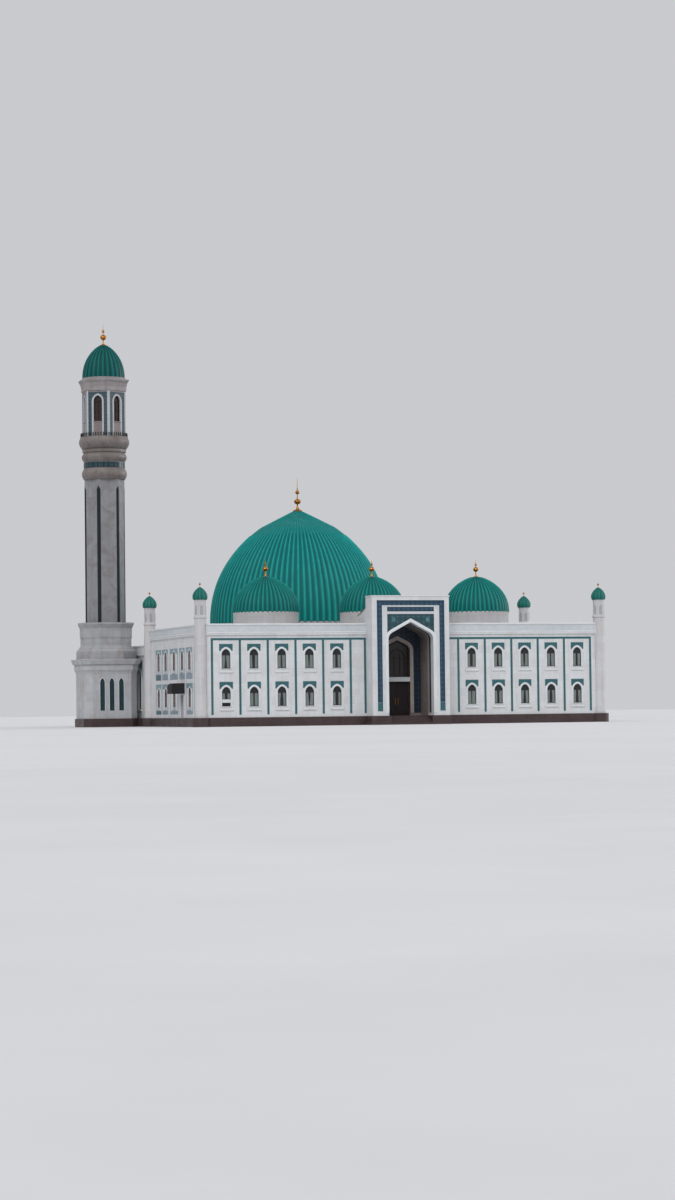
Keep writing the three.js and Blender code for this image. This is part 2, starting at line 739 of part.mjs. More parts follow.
function turret(x, y) {
  const foot = TURRET_FOOT_RADIUS;
  const top = TURRET_TOP_RADIUS;
  const neck = top - 0.01;
  const ring = top + 0.1;
  const lip = top + 0.03;
  const profile = [
    [0, FLOOR_Z + GAP],
    [foot, FLOOR_Z + GAP],
    [foot, PARAPET_Z - 1],
    [top, PARAPET_Z],
    [top, TURRET_RING_Z - 0.18],
    [ring, TURRET_RING_Z - 0.06],
    [ring, TURRET_RING_Z + 0.1],
    [neck, TURRET_RING_Z + 0.16],
    [neck, TURRET_TOP - 0.2],
    [lip, TURRET_TOP - 0.08],
    [lip, TURRET_TOP],
    [0, TURRET_TOP],
  ];
  return turned(profile, x, y, TURRET_SIDES);
}

// A small onion dome with a bead and a point.
function turretDome(x, y) {
  const base = TURRET_TOP + GAP;
  const bead = 0.11;
  const beadZ = base + 1.5;
  const profile = [[0, base]];
  for (let i = 0; i <= ONION_ROWS; i += 1) {
    const share = i / ONION_ROWS;
    const angle = Math.PI * (ONION_START + (1 - ONION_START) * share);
    const bulge = Math.pow(Math.sin(angle), 0.75);
    profile.push([TURRET_DOME_RADIUS * Math.max(bulge, ONION_NECK), base + TURRET_DOME_HEIGHT * share]);
  }
  profile.push([bead, beadZ], [bead / 2, beadZ + bead], [0, TURRET_TIP]);
  return turned(profile, x, y, TURRET_SIDES);
}

// The base's cornice: a cavetto, a frieze and a fascia that leans out.
function baseCornice() {
  const courses = [
    [0, BASE_CORNICE_Z],
    [BASE_FRIEZE_OUT / 3, BASE_CORNICE_Z + (BASE_FRIEZE_Z - BASE_CORNICE_Z) / 2],
    [BASE_FRIEZE_OUT, BASE_FRIEZE_Z],
    [BASE_FRIEZE_OUT, BASE_FASCIA_Z],
    [BASE_FASCIA_OUT, BASE_FASCIA_Z + GAP],
    [BASE_CORNICE_OUT, BASE_TOP - BASE_FRIEZE_OUT / 2],
    [BASE_CORNICE_OUT, BASE_TOP],
  ];
  let cornice = null;
  for (let i = 0; i + 1 < courses.length; i += 1) {
    const [out, z] = courses[i];
    const [nextOut, nextZ] = courses[i + 1];
    const outline = chamferedSquare(BASE_HALF + out, BASE_CHAMFER);
    const spread = (BASE_HALF + nextOut) / (BASE_HALF + out);
    const course = flared(outline, z, nextZ, spread);
    cornice = cornice ? cornice.add(course) : course;
  }
  return cornice;
}

function towerBase() {
  let base = slab(chamferedSquare(BASE_HALF, BASE_CHAMFER), FLOOR_Z + GAP, BASE_TOP);
  base = base.add(baseCornice());
  const inside = chamferedSquare(BASE_HALF - BASE_WALL, BASE_CHAMFER);
  base = base.subtract(slab(inside, 0, BASE_TOP - BASE_WALL));
  base = base.subtract(turned(boreProfile(0, BASE_TOP + 1), TOWER_X, TOWER_Y, OCTAGON));
  const front = TOWER_Y - BASE_HALF;
  for (const k of [-1, 0, 1]) {
    const niche = pointedArch(
      BASE_NICHE_HALF, BASE_NICHE_SILL, BASE_NICHE_SPRING, BASE_NICHE_APEX,
      TOWER_X + k * BASE_NICHE_PITCH,
    );
    base = base.subtract(upright(niche, front - 1, front + BASE_NICHE_DEPTH));
  }
  return base;
}

function boreProfile(z0, z1) {
  return [[0, z0], [TOWER_BORE, z0], [TOWER_BORE, z1], [0, z1]];
}

// Corner angles that turn a flat side of the tower to the front.
const OCTAGON_FLAT = Math.PI / OCTAGON;
const HEXAGON_FLAT = Math.PI / HEXAGON;

// A tower piece between two heights, bored through, with the outline given from its foot up.
function bored(outline, sides, firstCorner) {
  const base = outline[0][1];
  const top = outline[outline.length - 1][1];
  const profile = [[TOWER_BORE, base], ...outline, [TOWER_BORE, top], [TOWER_BORE, base]];
  return turned(profile, TOWER_X, TOWER_Y, sides, firstCorner);
}

function pedestal() {
  const lip = 0.07;
  return bored([
    [PEDESTAL_FOOT, BASE_TOP + GAP],
    [PEDESTAL_FOOT, PEDESTAL_FLARE_Z],
    [(PEDESTAL_FOOT + PEDESTAL_RADIUS) / 2, (PEDESTAL_FLARE_Z + PEDESTAL_NECK_Z) / 2 - lip],
    [PEDESTAL_RADIUS, PEDESTAL_NECK_Z],
    [PEDESTAL_RADIUS, PEDESTAL_BAND_Z - lip],
    [PEDESTAL_RADIUS + lip, PEDESTAL_BAND_Z],
    [PEDESTAL_RADIUS + lip, PEDESTAL_CORNICE_Z],
    [PEDESTAL_CORNICE, PEDESTAL_TOP - 3 * lip],
    [PEDESTAL_CORNICE, PEDESTAL_TOP],
  ], OCTAGON, OCTAGON_FLAT);
}

function towerShaft() {
  return bored([[SHAFT_RADIUS, PEDESTAL_TOP + GAP], [SHAFT_RADIUS, SHAFT_TOP]], HEXAGON, HEXAGON_FLAT);
}

// A bulging ring between two heights, from one radius through another and back.
function torus(z0, z1, edge, widest) {
  const count = 4;
  const points = [];
  for (let i = 0; i <= count; i += 1) {
    const share = i / count;
    const bulge = Math.sin(Math.PI * share);
    points.push([edge + (widest - edge) * bulge, z0 + (z1 - z0) * share]);
  }
  return points;
}

// Round rings, a band for tiles and the gallery that the lantern stands on.
function towerGallery() {
  const outline = [
    ...torus(SHAFT_TOP + GAP, TILE_BAND_Z - 0.2, SHAFT_RADIUS + 0.02, GALLERY_RING),
    [GALLERY_NECK, TILE_BAND_Z],
    [GALLERY_NECK, TILE_BAND_TOP],
    ...torus(TILE_BAND_TOP + GAP, SMALL_RING_Z - 0.4, SHAFT_RADIUS + 0.02, GALLERY_RING),
    [GALLERY_NECK, SMALL_RING_Z - 0.05],
    [GALLERY_RING, SMALL_RING_Z],
    ...torus(GALLERY_FOOT, GALLERY_TOP, GALLERY_RING - 0.02, GALLERY_RADIUS),
  ];
  const solidGallery = bored(outline, ROUND, 0);
  const lid = turned([
    [HATCH, GALLERY_TOP - GALLERY_FLOOR],
    [TOWER_BORE + 0.1, GALLERY_TOP - GALLERY_FLOOR],
    [TOWER_BORE + 0.1, GALLERY_TOP],
    [HATCH, GALLERY_TOP],
    [HATCH, GALLERY_TOP - GALLERY_FLOOR],
  ], TOWER_X, TOWER_Y, ROUND);
  return solidGallery.add(lid);
}

// Six arched walls with a corner to the front, under a crown that flares out and carries a ring.
function towerLantern() {
  const base = GALLERY_TOP + GAP;
  const inner = LANTERN_RADIUS - LANTERN_WALL;
  const profile = [
    [inner, base],
    [LANTERN_RADIUS, base],
    [LANTERN_RADIUS, CROWN_Z],
    [CROWN_RADIUS, CROWN_Z],
    [CROWN_RADIUS, CROWN_FLARE_Z],
    [(CROWN_RADIUS + CROWN_LIP) / 2 - 0.05, (CROWN_FLARE_Z + CROWN_LIP_Z) / 2],
    [CROWN_LIP, CROWN_LIP_Z - 0.15],
    [CROWN_LIP, CROWN_LIP_Z],
    [TOWER_BORE, CROWN_LIP_Z],
    [TOWER_BORE, CROWN_Z],
    [inner, CROWN_Z],
    [inner, base],
  ];
  const ringBore = TOWER_BORE + 0.1;
  const ringFoot = CROWN_LIP_Z - 0.05;
  const ring = turned([
    [ringBore, ringFoot],
    [CROWN_RING, ringFoot],
    [CROWN_RING, CROWN_TOP],
    [ringBore, CROWN_TOP],
    [ringBore, ringFoot],
  ], TOWER_X, TOWER_Y, ROUND);
  let lantern = turned(profile, TOWER_X, TOWER_Y, HEXAGON).add(ring);
  const reach = LANTERN_RADIUS + 1;
  const arch = pointedArch(LANTERN_HALF, LANTERN_SILL, LANTERN_SPRING, LANTERN_APEX);
  for (let i = 0; i < HEXAGON / 2; i += 1) {
    const turn = HEXAGON_FLAT * (2 * i + 1);
    lantern = lantern.subtract(facing(arch, -reach, reach, turn, TOWER_X, TOWER_Y));
  }
  return lantern;
}

function towerDome() {
  const base = CROWN_TOP + GAP;
  const profile = domeProfile(TOWER_DOME_RADIUS, base, TOWER_DOME_TOP, SMALL_SHELL, TOWER_CURVE);
  const dome = turned(profile, TOWER_X, TOWER_Y, ROUND);
  return dome.add(finial(TOWER_FINIAL, TOWER_DOME_TOP, TOWER_TIP, TOWER_X, TOWER_Y));
}

// The room that the side door takes out of the glass when it opens.
function sideDoorRoom() {
  const margin = 0.1;
  const half = SIDE_DOOR_HALF + margin;
  return box(
    -HALF_WIDTH, -HALF_WIDTH + 2, SIDE_DOOR_Y - half, SIDE_DOOR_Y + half, 0, SIDE_DOOR_TOP + margin,
  );
}

const wallLeft = frontWall();
const sideLeft = sideWall(SIDE_DOOR_BAY).subtract(sideDoorway()).subtract(pinHoles());
const doorLeaf = portalLeaf();
const lowerGlass = storeyGlass(0);
const upperGlass = storeyGlass(STOREY);

addPiece("plinth", plinth());
addPiece("portal_steps", portalSteps());
addPiece("front_wall_left", wallLeft);
addPiece("front_wall_right", wallLeft, -1);
addPiece("side_wall_left", sideLeft);
addPiece("side_wall_right", sideWall(-1), -1);
addPiece("block_back_wall", blockBackWall());
addPiece("upper_floor", blockPlate(UPPER_FLOOR_Z - UPPER_FLOOR, UPPER_FLOOR_Z));
addPiece("front_roof", frontRoof());
addPiece("portal", portal());
addPiece("portal_niche", portalNiche());
addPiece("portal_door_left", doorLeaf);
addPiece("portal_door_right", doorLeaf, -1);
addPiece("portal_window", portalWindow());
addPiece("side_door", sideDoor());
addPiece("door_canopy", canopy());
addPiece("lower_glass_left", lowerGlass.subtract(sideDoorRoom()));
addPiece("lower_glass_right", lowerGlass, -1);
addPiece("upper_glass_left", upperGlass);
addPiece("upper_glass_right", upperGlass, -1);
addPiece("hall_walls", hallWalls());
addPiece("hall_glass", hallGlass());
addPiece("hall_roof", hallRoof());
addPiece("main_drum", mainDrum());
addPiece("main_dome", mainDome());
for (const [place, x] of [["left", -SMALL_SPACING], ["centre", 0], ["right", SMALL_SPACING]]) {
  addPiece(`small_drum_${place}`, smallDrum(x));
  addPiece(`small_dome_${place}`, smallDome(x));
}
for (const [side, x] of [["left", -HALF_WIDTH], ["right", HALF_WIDTH]]) {
  for (const [end, y] of [["front", TURRET_FRONT_Y], ["back", TURRET_BACK_Y]]) {
    addPiece(`turret_${end}_${side}`, turret(x, y));
    addPiece(`turret_dome_${end}_${side}`, turretDome(x, y));
  }
}
addPiece("minaret_base", towerBase());
addPiece("minaret_pedestal", pedestal());
addPiece("minaret_shaft", towerShaft());
addPiece("minaret_gallery", towerGallery());
addPiece("minaret_lantern", towerLantern());
addPiece("minaret_dome", towerDome());

export default group;
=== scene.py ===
# The looks of a domed mosque: ribbed green domes with gilt finials, marble walls with tile
# trims, a tall arched portal and a minaret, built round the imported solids.
# Sizes here are the real building's, in metres, with X to the right of the facade, Y back
# from it and Z up. TO_MODEL turns them into the half-scale model's frame.
from functools import partial
from math import acos, atan2, cos, hypot, pi, radians, sin

import bmesh
import bpy
from mathutils import Matrix, Vector


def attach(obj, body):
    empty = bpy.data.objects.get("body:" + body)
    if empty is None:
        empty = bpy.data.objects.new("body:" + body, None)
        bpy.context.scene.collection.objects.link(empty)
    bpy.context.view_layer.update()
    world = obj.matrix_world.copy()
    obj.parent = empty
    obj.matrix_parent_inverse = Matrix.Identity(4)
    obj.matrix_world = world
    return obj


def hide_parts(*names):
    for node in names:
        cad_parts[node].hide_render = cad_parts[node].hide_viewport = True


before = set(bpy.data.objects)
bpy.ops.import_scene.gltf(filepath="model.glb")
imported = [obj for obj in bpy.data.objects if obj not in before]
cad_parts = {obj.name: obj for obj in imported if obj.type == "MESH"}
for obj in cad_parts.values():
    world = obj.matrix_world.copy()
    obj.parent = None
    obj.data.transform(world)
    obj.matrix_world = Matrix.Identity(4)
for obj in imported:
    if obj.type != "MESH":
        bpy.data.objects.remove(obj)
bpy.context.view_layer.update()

SCALE = 0.5
CENTRE_Y = 30.0
TO_MODEL = Matrix.Scale(SCALE, 4) @ Matrix.Translation((0, -CENTRE_Y, 0))
SHELL = "building"

# Places of the main masses
HALF_WIDTH = 23.64
BLOCK_DEPTH = 25.1
HALL_BACK = 62.6
STOREY = 4.2
TURRET_RADIUS = 0.7
TURRET_YS = (0.27, 24.83)
PORTAL_HALF = 4.55
PORTAL_OUT = 2.3
NICHE_BACK = 2.7
NICHE_HALF = 2.75
WALL_THICK = 0.6
LEAF_THICK = 0.1
LEAF_GAP = 0.012
SMALL_XS = {"left": -12.88, "centre": 0.0, "right": 12.88}
SMALL_Y = 12.0
MAIN_Y = 43.1
TOWER = Vector((-27.52, 31.5, 0))
FIRST_BAY = 7.99
BAY_PITCH = 3.205
BAYS = 5
ROW_START = FIRST_BAY + (BAYS - 1) * BAY_PITCH
SIDE_BAYS = (5.4, 8.85, 12.75, 16.9, 20.45)
SIDE_DOOR_BAY = 1
HALL_PITCH = 6.38
LANTERN_RADIUS = 2.72
SHAFT_RADIUS = 2.45

# The two sides: name, place, turn of the wall and the sign of what lies further back
SIDES = (("left", -HALF_WIDTH, -90, -1), ("right", HALF_WIDTH, 90, 1))

# How deep a trim stands in its wall, so that no gap shows behind it
SUNK = -0.02

# The camera's place, its turns in radians and its lens
CAMERA_PLACE = Vector((-102.334, -313.247, 1.744))
CAMERA_YAW, CAMERA_PITCH, CAMERA_ROLL = -0.2929846, 0.0375255, 0.0118226
FOCAL_PIXELS, PICTURE_HEIGHT, SENSOR = 2921.66, 1200, 36.0

MATH = "ShaderNodeMath"
VECTOR = "ShaderNodeVectorMath"
SPLIT = "ShaderNodeSeparateXYZ"
COMBINE = "ShaderNodeCombineXYZ"
RANGE = "ShaderNodeMapRange"
NOISE = "ShaderNodeTexNoise"
BRICK = "ShaderNodeTexBrick"
MIX = "ShaderNodeMix"
LINE = "GeometryNodeMeshLine"
ON_POINTS = "GeometryNodeInstanceOnPoints"


def linear(code):
    """An sRGB colour such as #AABBCC as linear red, green, blue and alpha."""
    shades = [int(code[i:i + 2], 16) / 255 for i in (1, 3, 5)]
    return [c / 12.92 if c <= 0.04045 else ((c + 0.055) / 1.055) ** 2.4 for c in shades] + [1.0]


def fill(tree, node, inputs):
    """Sets each input to a value or a colour, or links it to a socket or a node's first in use."""
    for key, value in inputs.items() if isinstance(inputs, dict) else enumerate(inputs):
        if isinstance(value, bpy.types.Node):
            value = next(socket for socket in value.outputs if socket.enabled)
        if isinstance(value, str) and value[0] == "#":
            value = linear(value)
        if isinstance(value, bpy.types.NodeSocket):
            tree.links.new(value, node.inputs[key])
        elif value is not None:
            node.inputs[key].default_value = value


def add_node(tree, kind, inputs=(), **settings):
    """A new node with its settings and inputs. A kind in capitals is an operation on numbers."""
    if kind.isupper():
        settings["operation"] = kind
        kind = MATH
    node = tree.nodes.new(kind)
    for name, value in settings.items():
        setattr(node, name, value)
    fill(tree, node, inputs)
    return node


# Materials: each finish belongs to a slot or to none


def new_finish(name, roughness, metallic=0.0, specular=0.5):
    """A material, a way to add nodes to it, and a point's place in real metres."""
    material = bpy.data.materials.new(name)
    material.use_nodes = True
    tree = material.node_tree
    fill(tree, tree.nodes["Principled BSDF"], {
        "Roughness": roughness, "Metallic": metallic, "Specular IOR Level": specular})
    add = partial(add_node, tree)
    place = add("ShaderNodeTexCoord").outputs["Object"]
    return material, add, add(VECTOR, (place, (1 / SCALE,) * 3), operation="MULTIPLY")


def dress(material, base, layers, height, strength=0.3, depth=0.002, gloss=None, **relief):
    """Lays each colour over the base by its share, and links colour, gloss and relief."""
    tree = material.node_tree
    for share, colour in layers:
        base = add_node(tree, MIX, {0: share, 6: base, 7: colour}, data_type="RGBA")
    bump = add_node(tree, "ShaderNodeBump", {"Strength": strength, "Distance": depth, "Height": height},
                    **relief)
    fill(tree, tree.nodes["Principled BSDF"], {"Base Color": base, "Roughness": gloss, "Normal": bump})
    return material


def on_surface(add, real, axis, radius):
    """A point's place along a flat wall and up it or, where there is an axis, round it and up."""
    if axis:
        centred = add(VECTOR, (real, (axis[0], axis[1] - CENTRE_Y, 0)), operation="SUBTRACT")
        split = add(SPLIT, (centred,))
        angle = add("ARCTAN2", (split.outputs["Y"], split.outputs["X"]))
        across = add("MULTIPLY", (angle, radius))
    else:
        facing = add("ShaderNodeTexCoord").outputs["Normal"]
        along = add(VECTOR, ((0, 0, 1), facing), operation="CROSS_PRODUCT")
        unit = add(VECTOR, (along,), operation="NORMALIZE")
        across = add(VECTOR, (unit, real), operation="DOT_PRODUCT")
        split = add(SPLIT, (real,))
    return add(COMBINE, (across, split.outputs["Z"], 0.0))


def marble(name, light, dark, joint, vein, slab=(1.2, 0.8), axis=None, radius=1.0, mottle=0.45):
    """Honed marble facing slabs: a thin joint, a tone for each slab, warm clouds and rain marks."""
    material, add, real = new_finish(name, 0.5, specular=0.35)
    # Joints are drawn 12 mm wide, where real ones of 4 mm would vanish at this distance
    slabs = add(BRICK, {
        "Vector": on_surface(add, real, axis, radius), "Color1": light, "Color2": dark,
        "Mortar": joint, "Scale": 1.0, "Mortar Size": 0.006, "Mortar Smooth": 0.5, "Bias": -0.45,
        "Brick Width": slab[0], "Row Height": slab[1]})
    clouds = add(NOISE, {
        "Vector": real, "Scale": 0.7, "Detail": 7.0, "Roughness": 0.62, "Distortion": 0.9})
    stretched = add(VECTOR, (real, (2.2, 2.2, 0.14)), operation="MULTIPLY")
    rain = add(NOISE, {"Vector": stretched, "Scale": 1.0, "Detail": 4.0})
    layers = ((add(RANGE, (clouds, 0.45, 0.72, 0.0, mottle)), vein),
              (add(RANGE, (rain, 0.5, 0.8, 0.0, 0.35)), joint))
    grain = add(NOISE, {"Vector": real, "Scale": 45.0, "Detail": 3.0})
    joints = add("MULTIPLY", (slabs.outputs["Fac"], -1.0))
    return dress(material, slabs, layers, add("MULTIPLY_ADD", (grain, 0.06, joints)), 0.25,
                 gloss=add(RANGE, (clouds, 0.3, 0.7, 0.38, 0.6)))


def glazed_tile(name, ground, shade, line, light, cell, tile=0.1, axis=None, radius=1.0):
    """Glazed tile mosaic: a lattice of eight-lobed stars and diamonds over small square tiles."""
    material, add, real = new_finish(name, 0.28, specular=0.35)
    place = on_surface(add, real, axis, radius)
    scaled = add(VECTOR, (place, (1 / cell, 1 / cell, 1.0)), operation="MULTIPLY")
    wrapped = add(VECTOR, (scaled,), operation="FRACTION")
    centred = add(VECTOR, (wrapped, (0.5, 0.5, 0.0)), operation="SUBTRACT")
    folded = add(VECTOR, (centred,), operation="ABSOLUTE")
    x, y = add(SPLIT, (folded,)).outputs[:2]
    # The diamond that links the stars, and the star in the middle of each cell with its eye
    diamond = add("COMPARE", (add("ADD", (x, y)), 0.47, 0.045))
    lobes = add("MULTIPLY", (add("ARCTAN2", (y, x)), 8.0))
    edge = add("MULTIPLY_ADD", (add("COSINE", (lobes,)), 0.045, 0.2))
    distance = add(VECTOR, (folded,), operation="LENGTH")
    star = add("LESS_THAN", (distance, edge))
    eye = add("LESS_THAN", (distance, 0.085))
    tiles = add(BRICK, {
        "Vector": place, "Color1": ground, "Color2": shade, "Mortar": shade, "Scale": 1.0,
        "Mortar Size": 0.004, "Mortar Smooth": 0.3, "Brick Width": tile, "Row Height": tile}, offset=0.0)
    wear = add(NOISE, {"Vector": real, "Scale": 2.5, "Detail": 5.0, "Roughness": 0.7})
    worn = add(RANGE, (wear, 0.45, 0.75, 0.0, 0.5))
    return dress(material, tiles, ((worn, line), (diamond, line), (star, line), (eye, light)),
                 tiles.outputs["Fac"], 0.4, invert=True)


def painted_sheet(name, groove, body, crest):
    """Green painted sheet on the domes: dark in the grooves with painted shade, paler on the crests with a
    painted highlight, and dusty on the crests.
    """
    material, add, real = new_finish(name, 0.5, specular=0.14)
    # The rib attribute carries painted light: painted shade in the grooves and a painted highlight on the
    # crests
    rib = add("ShaderNodeAttribute", attribute_name="rib").outputs["Fac"]
    tone = add("ShaderNodeValToRGB", (rib,))
    ramp = tone.color_ramp
    ramp.elements[0].position, ramp.elements[0].color = 0.08, linear(groove)
    ramp.elements[1].position, ramp.elements[1].color = 0.92, linear(crest)
    ramp.elements.new(0.5).color = linear(body)
    stretched = add(VECTOR, (real, (1.2, 1.2, 0.35)), operation="MULTIPLY")
    dust = add(NOISE, {"Vector": stretched, "Scale": 0.9, "Detail": 6.0, "Roughness": 0.65})
    # Sheets are 1.25 m tall, and their laps show as faint rings
    lap = add("FRACT", (add("DIVIDE", (add(SPLIT, (real,)).outputs["Z"], 1.25)),))
    ring_tone = add("MULTIPLY", (add("LESS_THAN", (lap, 0.03)), 0.35))
    layers = (add(RANGE, (dust, 0.4, 0.75, 0.0, 0.4)), groove), (ring_tone, groove)
    dents = add(NOISE, {"Vector": real, "Scale": 6.0, "Detail": 2.0})
    return dress(material, tone, layers, dents, 0.25, 0.004, add(RANGE, (dust, 0.3, 0.7, 0.42, 0.6)))


def mottled(name, light, dark, size, roughness, metallic=0.0, specular=0.35):
    """A finish with grains or patches of two tones of one size, in metres."""
    material, add, real = new_finish(name, roughness, metallic, specular)
    grain = add(NOISE, {"Vector": real, "Scale": 1 / size, "Detail": 8.0, "Roughness": 0.6})
    patches = add(NOISE, {"Vector": real, "Scale": 0.12 / size, "Detail": 3.0})
    halved = add("MULTIPLY", (add("ADD", (grain, patches)), 0.5))
    share = add(RANGE, (halved, 0.35, 0.65))
    gloss = add(RANGE, (grain, 0.3, 0.7, roughness * 0.85, min(1.0, roughness * 1.15)))
    return dress(material, dark, ((share, light),), grain, gloss=gloss)


def stained_wood(name, light, dark):
    """Dark stained wood: upright grain, 12 mm from line to line, with slow changes of tone."""
    material, add, real = new_finish(name, 0.5, specular=0.25)
    stretched = add(VECTOR, (real, (1.0, 1.0, 0.06)), operation="MULTIPLY")
    grain = add(NOISE, {"Vector": stretched, "Scale": 80.0, "Detail": 5.0, "Distortion": 0.6})
    share = add(RANGE, (grain, 0.35, 0.65))
    return dress(material, dark, ((share, light),), grain, depth=0.001)


def curtained_glass(name, dark, curtain, fold):
    """Window glass with a pale curtain drawn to each side behind it, read from the pane's own
    across and up attributes; the curtain's folds are painted shade."""
    material, add, real = new_finish(name, 0.1, specular=0.4)
    across = add("ShaderNodeAttribute", attribute_name="across").outputs["Fac"]
    rise = add("ShaderNodeAttribute", attribute_name="up").outputs["Fac"]
    far = add("ABSOLUTE", (across,))
    slow = add(NOISE, {"Vector": real, "Scale": 0.35, "Detail": 1.0})
    drawn = add("GREATER_THAN", (far, add(RANGE, (slow, 0.35, 0.65, 0.1, 0.34))))
    cloth = add("MULTIPLY", (drawn, add("LESS_THAN", (rise, 0.98))))
    # Painted shade in stripes across the curtain stands for its folds
    wave = add("SINE", (add("MULTIPLY", (far, 34.0)),))
    fold_shade_share = add(RANGE, (wave, -1.0, 1.0))
    cloth_tone = add(MIX, {0: fold_shade_share, 6: curtain, 7: fold}, data_type="RGBA")
    ripple = add(NOISE, {"Vector": real, "Scale": 1.5, "Detail": 1.0})
    return dress(material, dark, ((cloth, cloth_tone),), ripple, 0.15)


# Honed marble slabs: matt white, a little cool, with warm clouds and thin grey joints
MARBLE = marble("honed_marble_facing", "#CDD0D2", "#BFC1C3", "#A6A7A9", "#C6BBB7")
# The minaret's marble is greyer and darker from the base up, partly as painted shade, and browner where water
# has run
BASE_MARBLE = marble("base_marble_facing", "#AEB1B4", "#A0A2A5", "#868689", "#A19390", (1.6, 1.05),
                     mottle=0.6)
PEDESTAL_MARBLE = marble("pedestal_marble_facing", "#9D9FA2", "#909295", "#6B6A6D", "#8D7F7B", (1.3, 0.72),
                         mottle=0.65)
SHAFT_MARBLE = marble("shaft_marble_facing", "#88898D", "#7B7B7F", "#605E60", "#6F635E", (1.25, 2.5),
                      mottle=0.7)
CROWN_MARBLE = marble("crown_marble_facing", "#918D8F", "#848082", "#6B6769", "#786C63", (1.3, 0.9),
                      mottle=0.6)
# The niche behind the portal's arch is lined with brown marble, always in shade, and its tones are darkened
# further with painted shade
NICHE_MARBLE_SHADED = marble("brown_niche_marble_painted_shade", "#867B77", "#786C68", "#5C5350", "#6B5E59", (1.35, 1.9),
                      mottle=0.6)
# Trims cut from one white marble, without joints: soft grey clouds only
WHITE_MARBLE = mottled("white_marble_trim", "#D6D9DB", "#C4C7C9", 0.2, 0.45)
# The lantern's trim is a greyer copy of the white trim, partly painted shade
GREY_WHITE = mottled("lantern_marble_trim", "#B3B5B8", "#A0A2A6", 0.2, 0.5)
# The reveal's lining is a greyer copy of the marble, its greyness painted shade
GREY_MARBLE_SHADED = mottled("grey_marble_lining_painted_shade", "#A09EA0", "#8A8789", 0.25, 0.45)
PINK_MARBLE = mottled("pale_brown_marble_frame", "#B4AAA7", "#9C918E", 0.25, 0.45)
# Painted render on the parapet: flat, a little blue
FASCIA = mottled("painted_render_fascia", "#C6CBCF", "#B5BBC0", 0.5, 0.65)
# Glazed tiles: small glints, a lattice of stars just lighter than the ground
TEAL_TILE = glazed_tile("teal_glazed_mosaic", "#285A61", "#204A53", "#3C6D72", "#6E9698", 0.25, 0.05)
NAVY_TILE = glazed_tile("navy_glazed_mosaic", "#1F3B50", "#182E42", "#2C4D60", "#4A7080", 0.55)
# The niche's mosaic is a darker copy of the navy mosaic, its darkness painted shade
NICHE_NAVY_SHADED = glazed_tile("niche_navy_mosaic_painted_shade", "#1C2A38", "#15202C", "#273A48", "#3A5260", 0.55)
SPANDREL_TILE = glazed_tile("grey_teal_glazed_mosaic", "#26434B", "#1D3740", "#315158", "#4C7173", 0.62)
LANTERN_TILE = glazed_tile("lantern_glazed_mosaic", "#35464E", "#2C3B43", "#3E535B", "#4D666D", 0.45)
SIDE_TILE = glazed_tile("pale_blue_glazed_mosaic", "#8CA4AD", "#7E99A2", "#567680", "#D8DCE0", 0.35, 0.06)
SIDE_PANEL = mottled("pale_blue_glazed_panel", "#8294A0", "#74858F", 0.25, 0.35)
SIDE_SILL = mottled("side_sill_marble", "#B9C0C4", "#A8AFB4", 0.3, 0.45)
ROUNDEL_TILE = mottled("turquoise_glaze", "#4E8288", "#3B6B72", 0.12, 0.25)
# Sheet painted green: satin, dark in the grooves with painted shade, paler on the crests with a painted
# highlight
DOME_GREEN = painted_sheet("green_painted_sheet", "#00605E", "#007572", "#1B9892")
# The smaller domes' sheet is a darker copy, the minaret's darkest of all, as painted shade; the turrets' is
# greyer
SMALL_GREEN_SHADED = painted_sheet("small_dome_sheet_painted_shade", "#005654", "#006966", "#18877F")
TURRET_GREEN = painted_sheet("turret_painted_sheet", "#12564F", "#1A625A", "#32786F")
TOWER_GREEN_SHADED = painted_sheet("minaret_dome_sheet_painted_shade", "#003F3E", "#00504E", "#0F6865")
# Gilding on copper: bright and warm, browner in patches
GILT = mottled("gilded_copper", "#C98D42", "#8C5A26", 0.25, 0.34, metallic=1.0, specular=0.5)
# Polished granite slabs: dark red-brown, speckled
GRANITE = marble("polished_brown_granite", "#453636", "#392C2C", "#241C1C", "#302424", (1.2, 0.5))
ROOF_FELT = mottled("mineral_roofing_felt", "#85827F", "#716D6A", 0.08, 0.85)
# Windows: dark glass with pale curtains drawn aside, their folds in painted shade, bronze glass on the sides
GLASS = curtained_glass("curtained_window_glass", "#1E2527", "#7E8784", "#646D6A")
BROWN_GLASS = mottled("bronze_tinted_glass", "#7B6663", "#63524F", 0.6, 0.15)
# A dark brown sheet behind each of the lantern's openings is painted shade
LANTERN_SHADE_SHEET = mottled("shaded_lantern_screen", "#32251F", "#271D18", 0.5, 0.25)
SCREEN_GLASS = mottled("screen_glass", "#2A2120", "#201918", 0.6, 0.15)
DARK_GLASS = mottled("inner_window_glass", "#2E3537", "#23292B", 0.8, 0.12)
BAR_PAINT = mottled("dark_painted_aluminium", "#2F2A2B", "#242021", 0.2, 0.45)
# Oiled dark oak: fine upright grain, barely shining
WOOD = stained_wood("dark_stained_oak", "#32282A", "#1D1515")
CANOPY = mottled("dark_painted_canopy_sheet", "#242123", "#1A1819", 0.3, 0.5)
IRON = mottled("black_wrought_iron", "#242528", "#18191B", 0.05, 0.55)
NICHE_TILE = mottled("dark_teal_glaze", "#203B42", "#182F36", 0.3, 0.3)
SHAFT_STRIP = mottled("ink_blue_glaze", "#1D262C", "#141C21", 0.2, 0.4, specular=0.2)
# A dark strip runs round the front of the arch's reveal
REVEAL_DARK_STRIP = mottled("dark_reveal_strip", "#2B343B", "#20282F", 0.2, 0.35)
INNER_PLASTER = mottled("beige_plaster", "#B0A69E", "#9C928B", 0.4, 0.8)
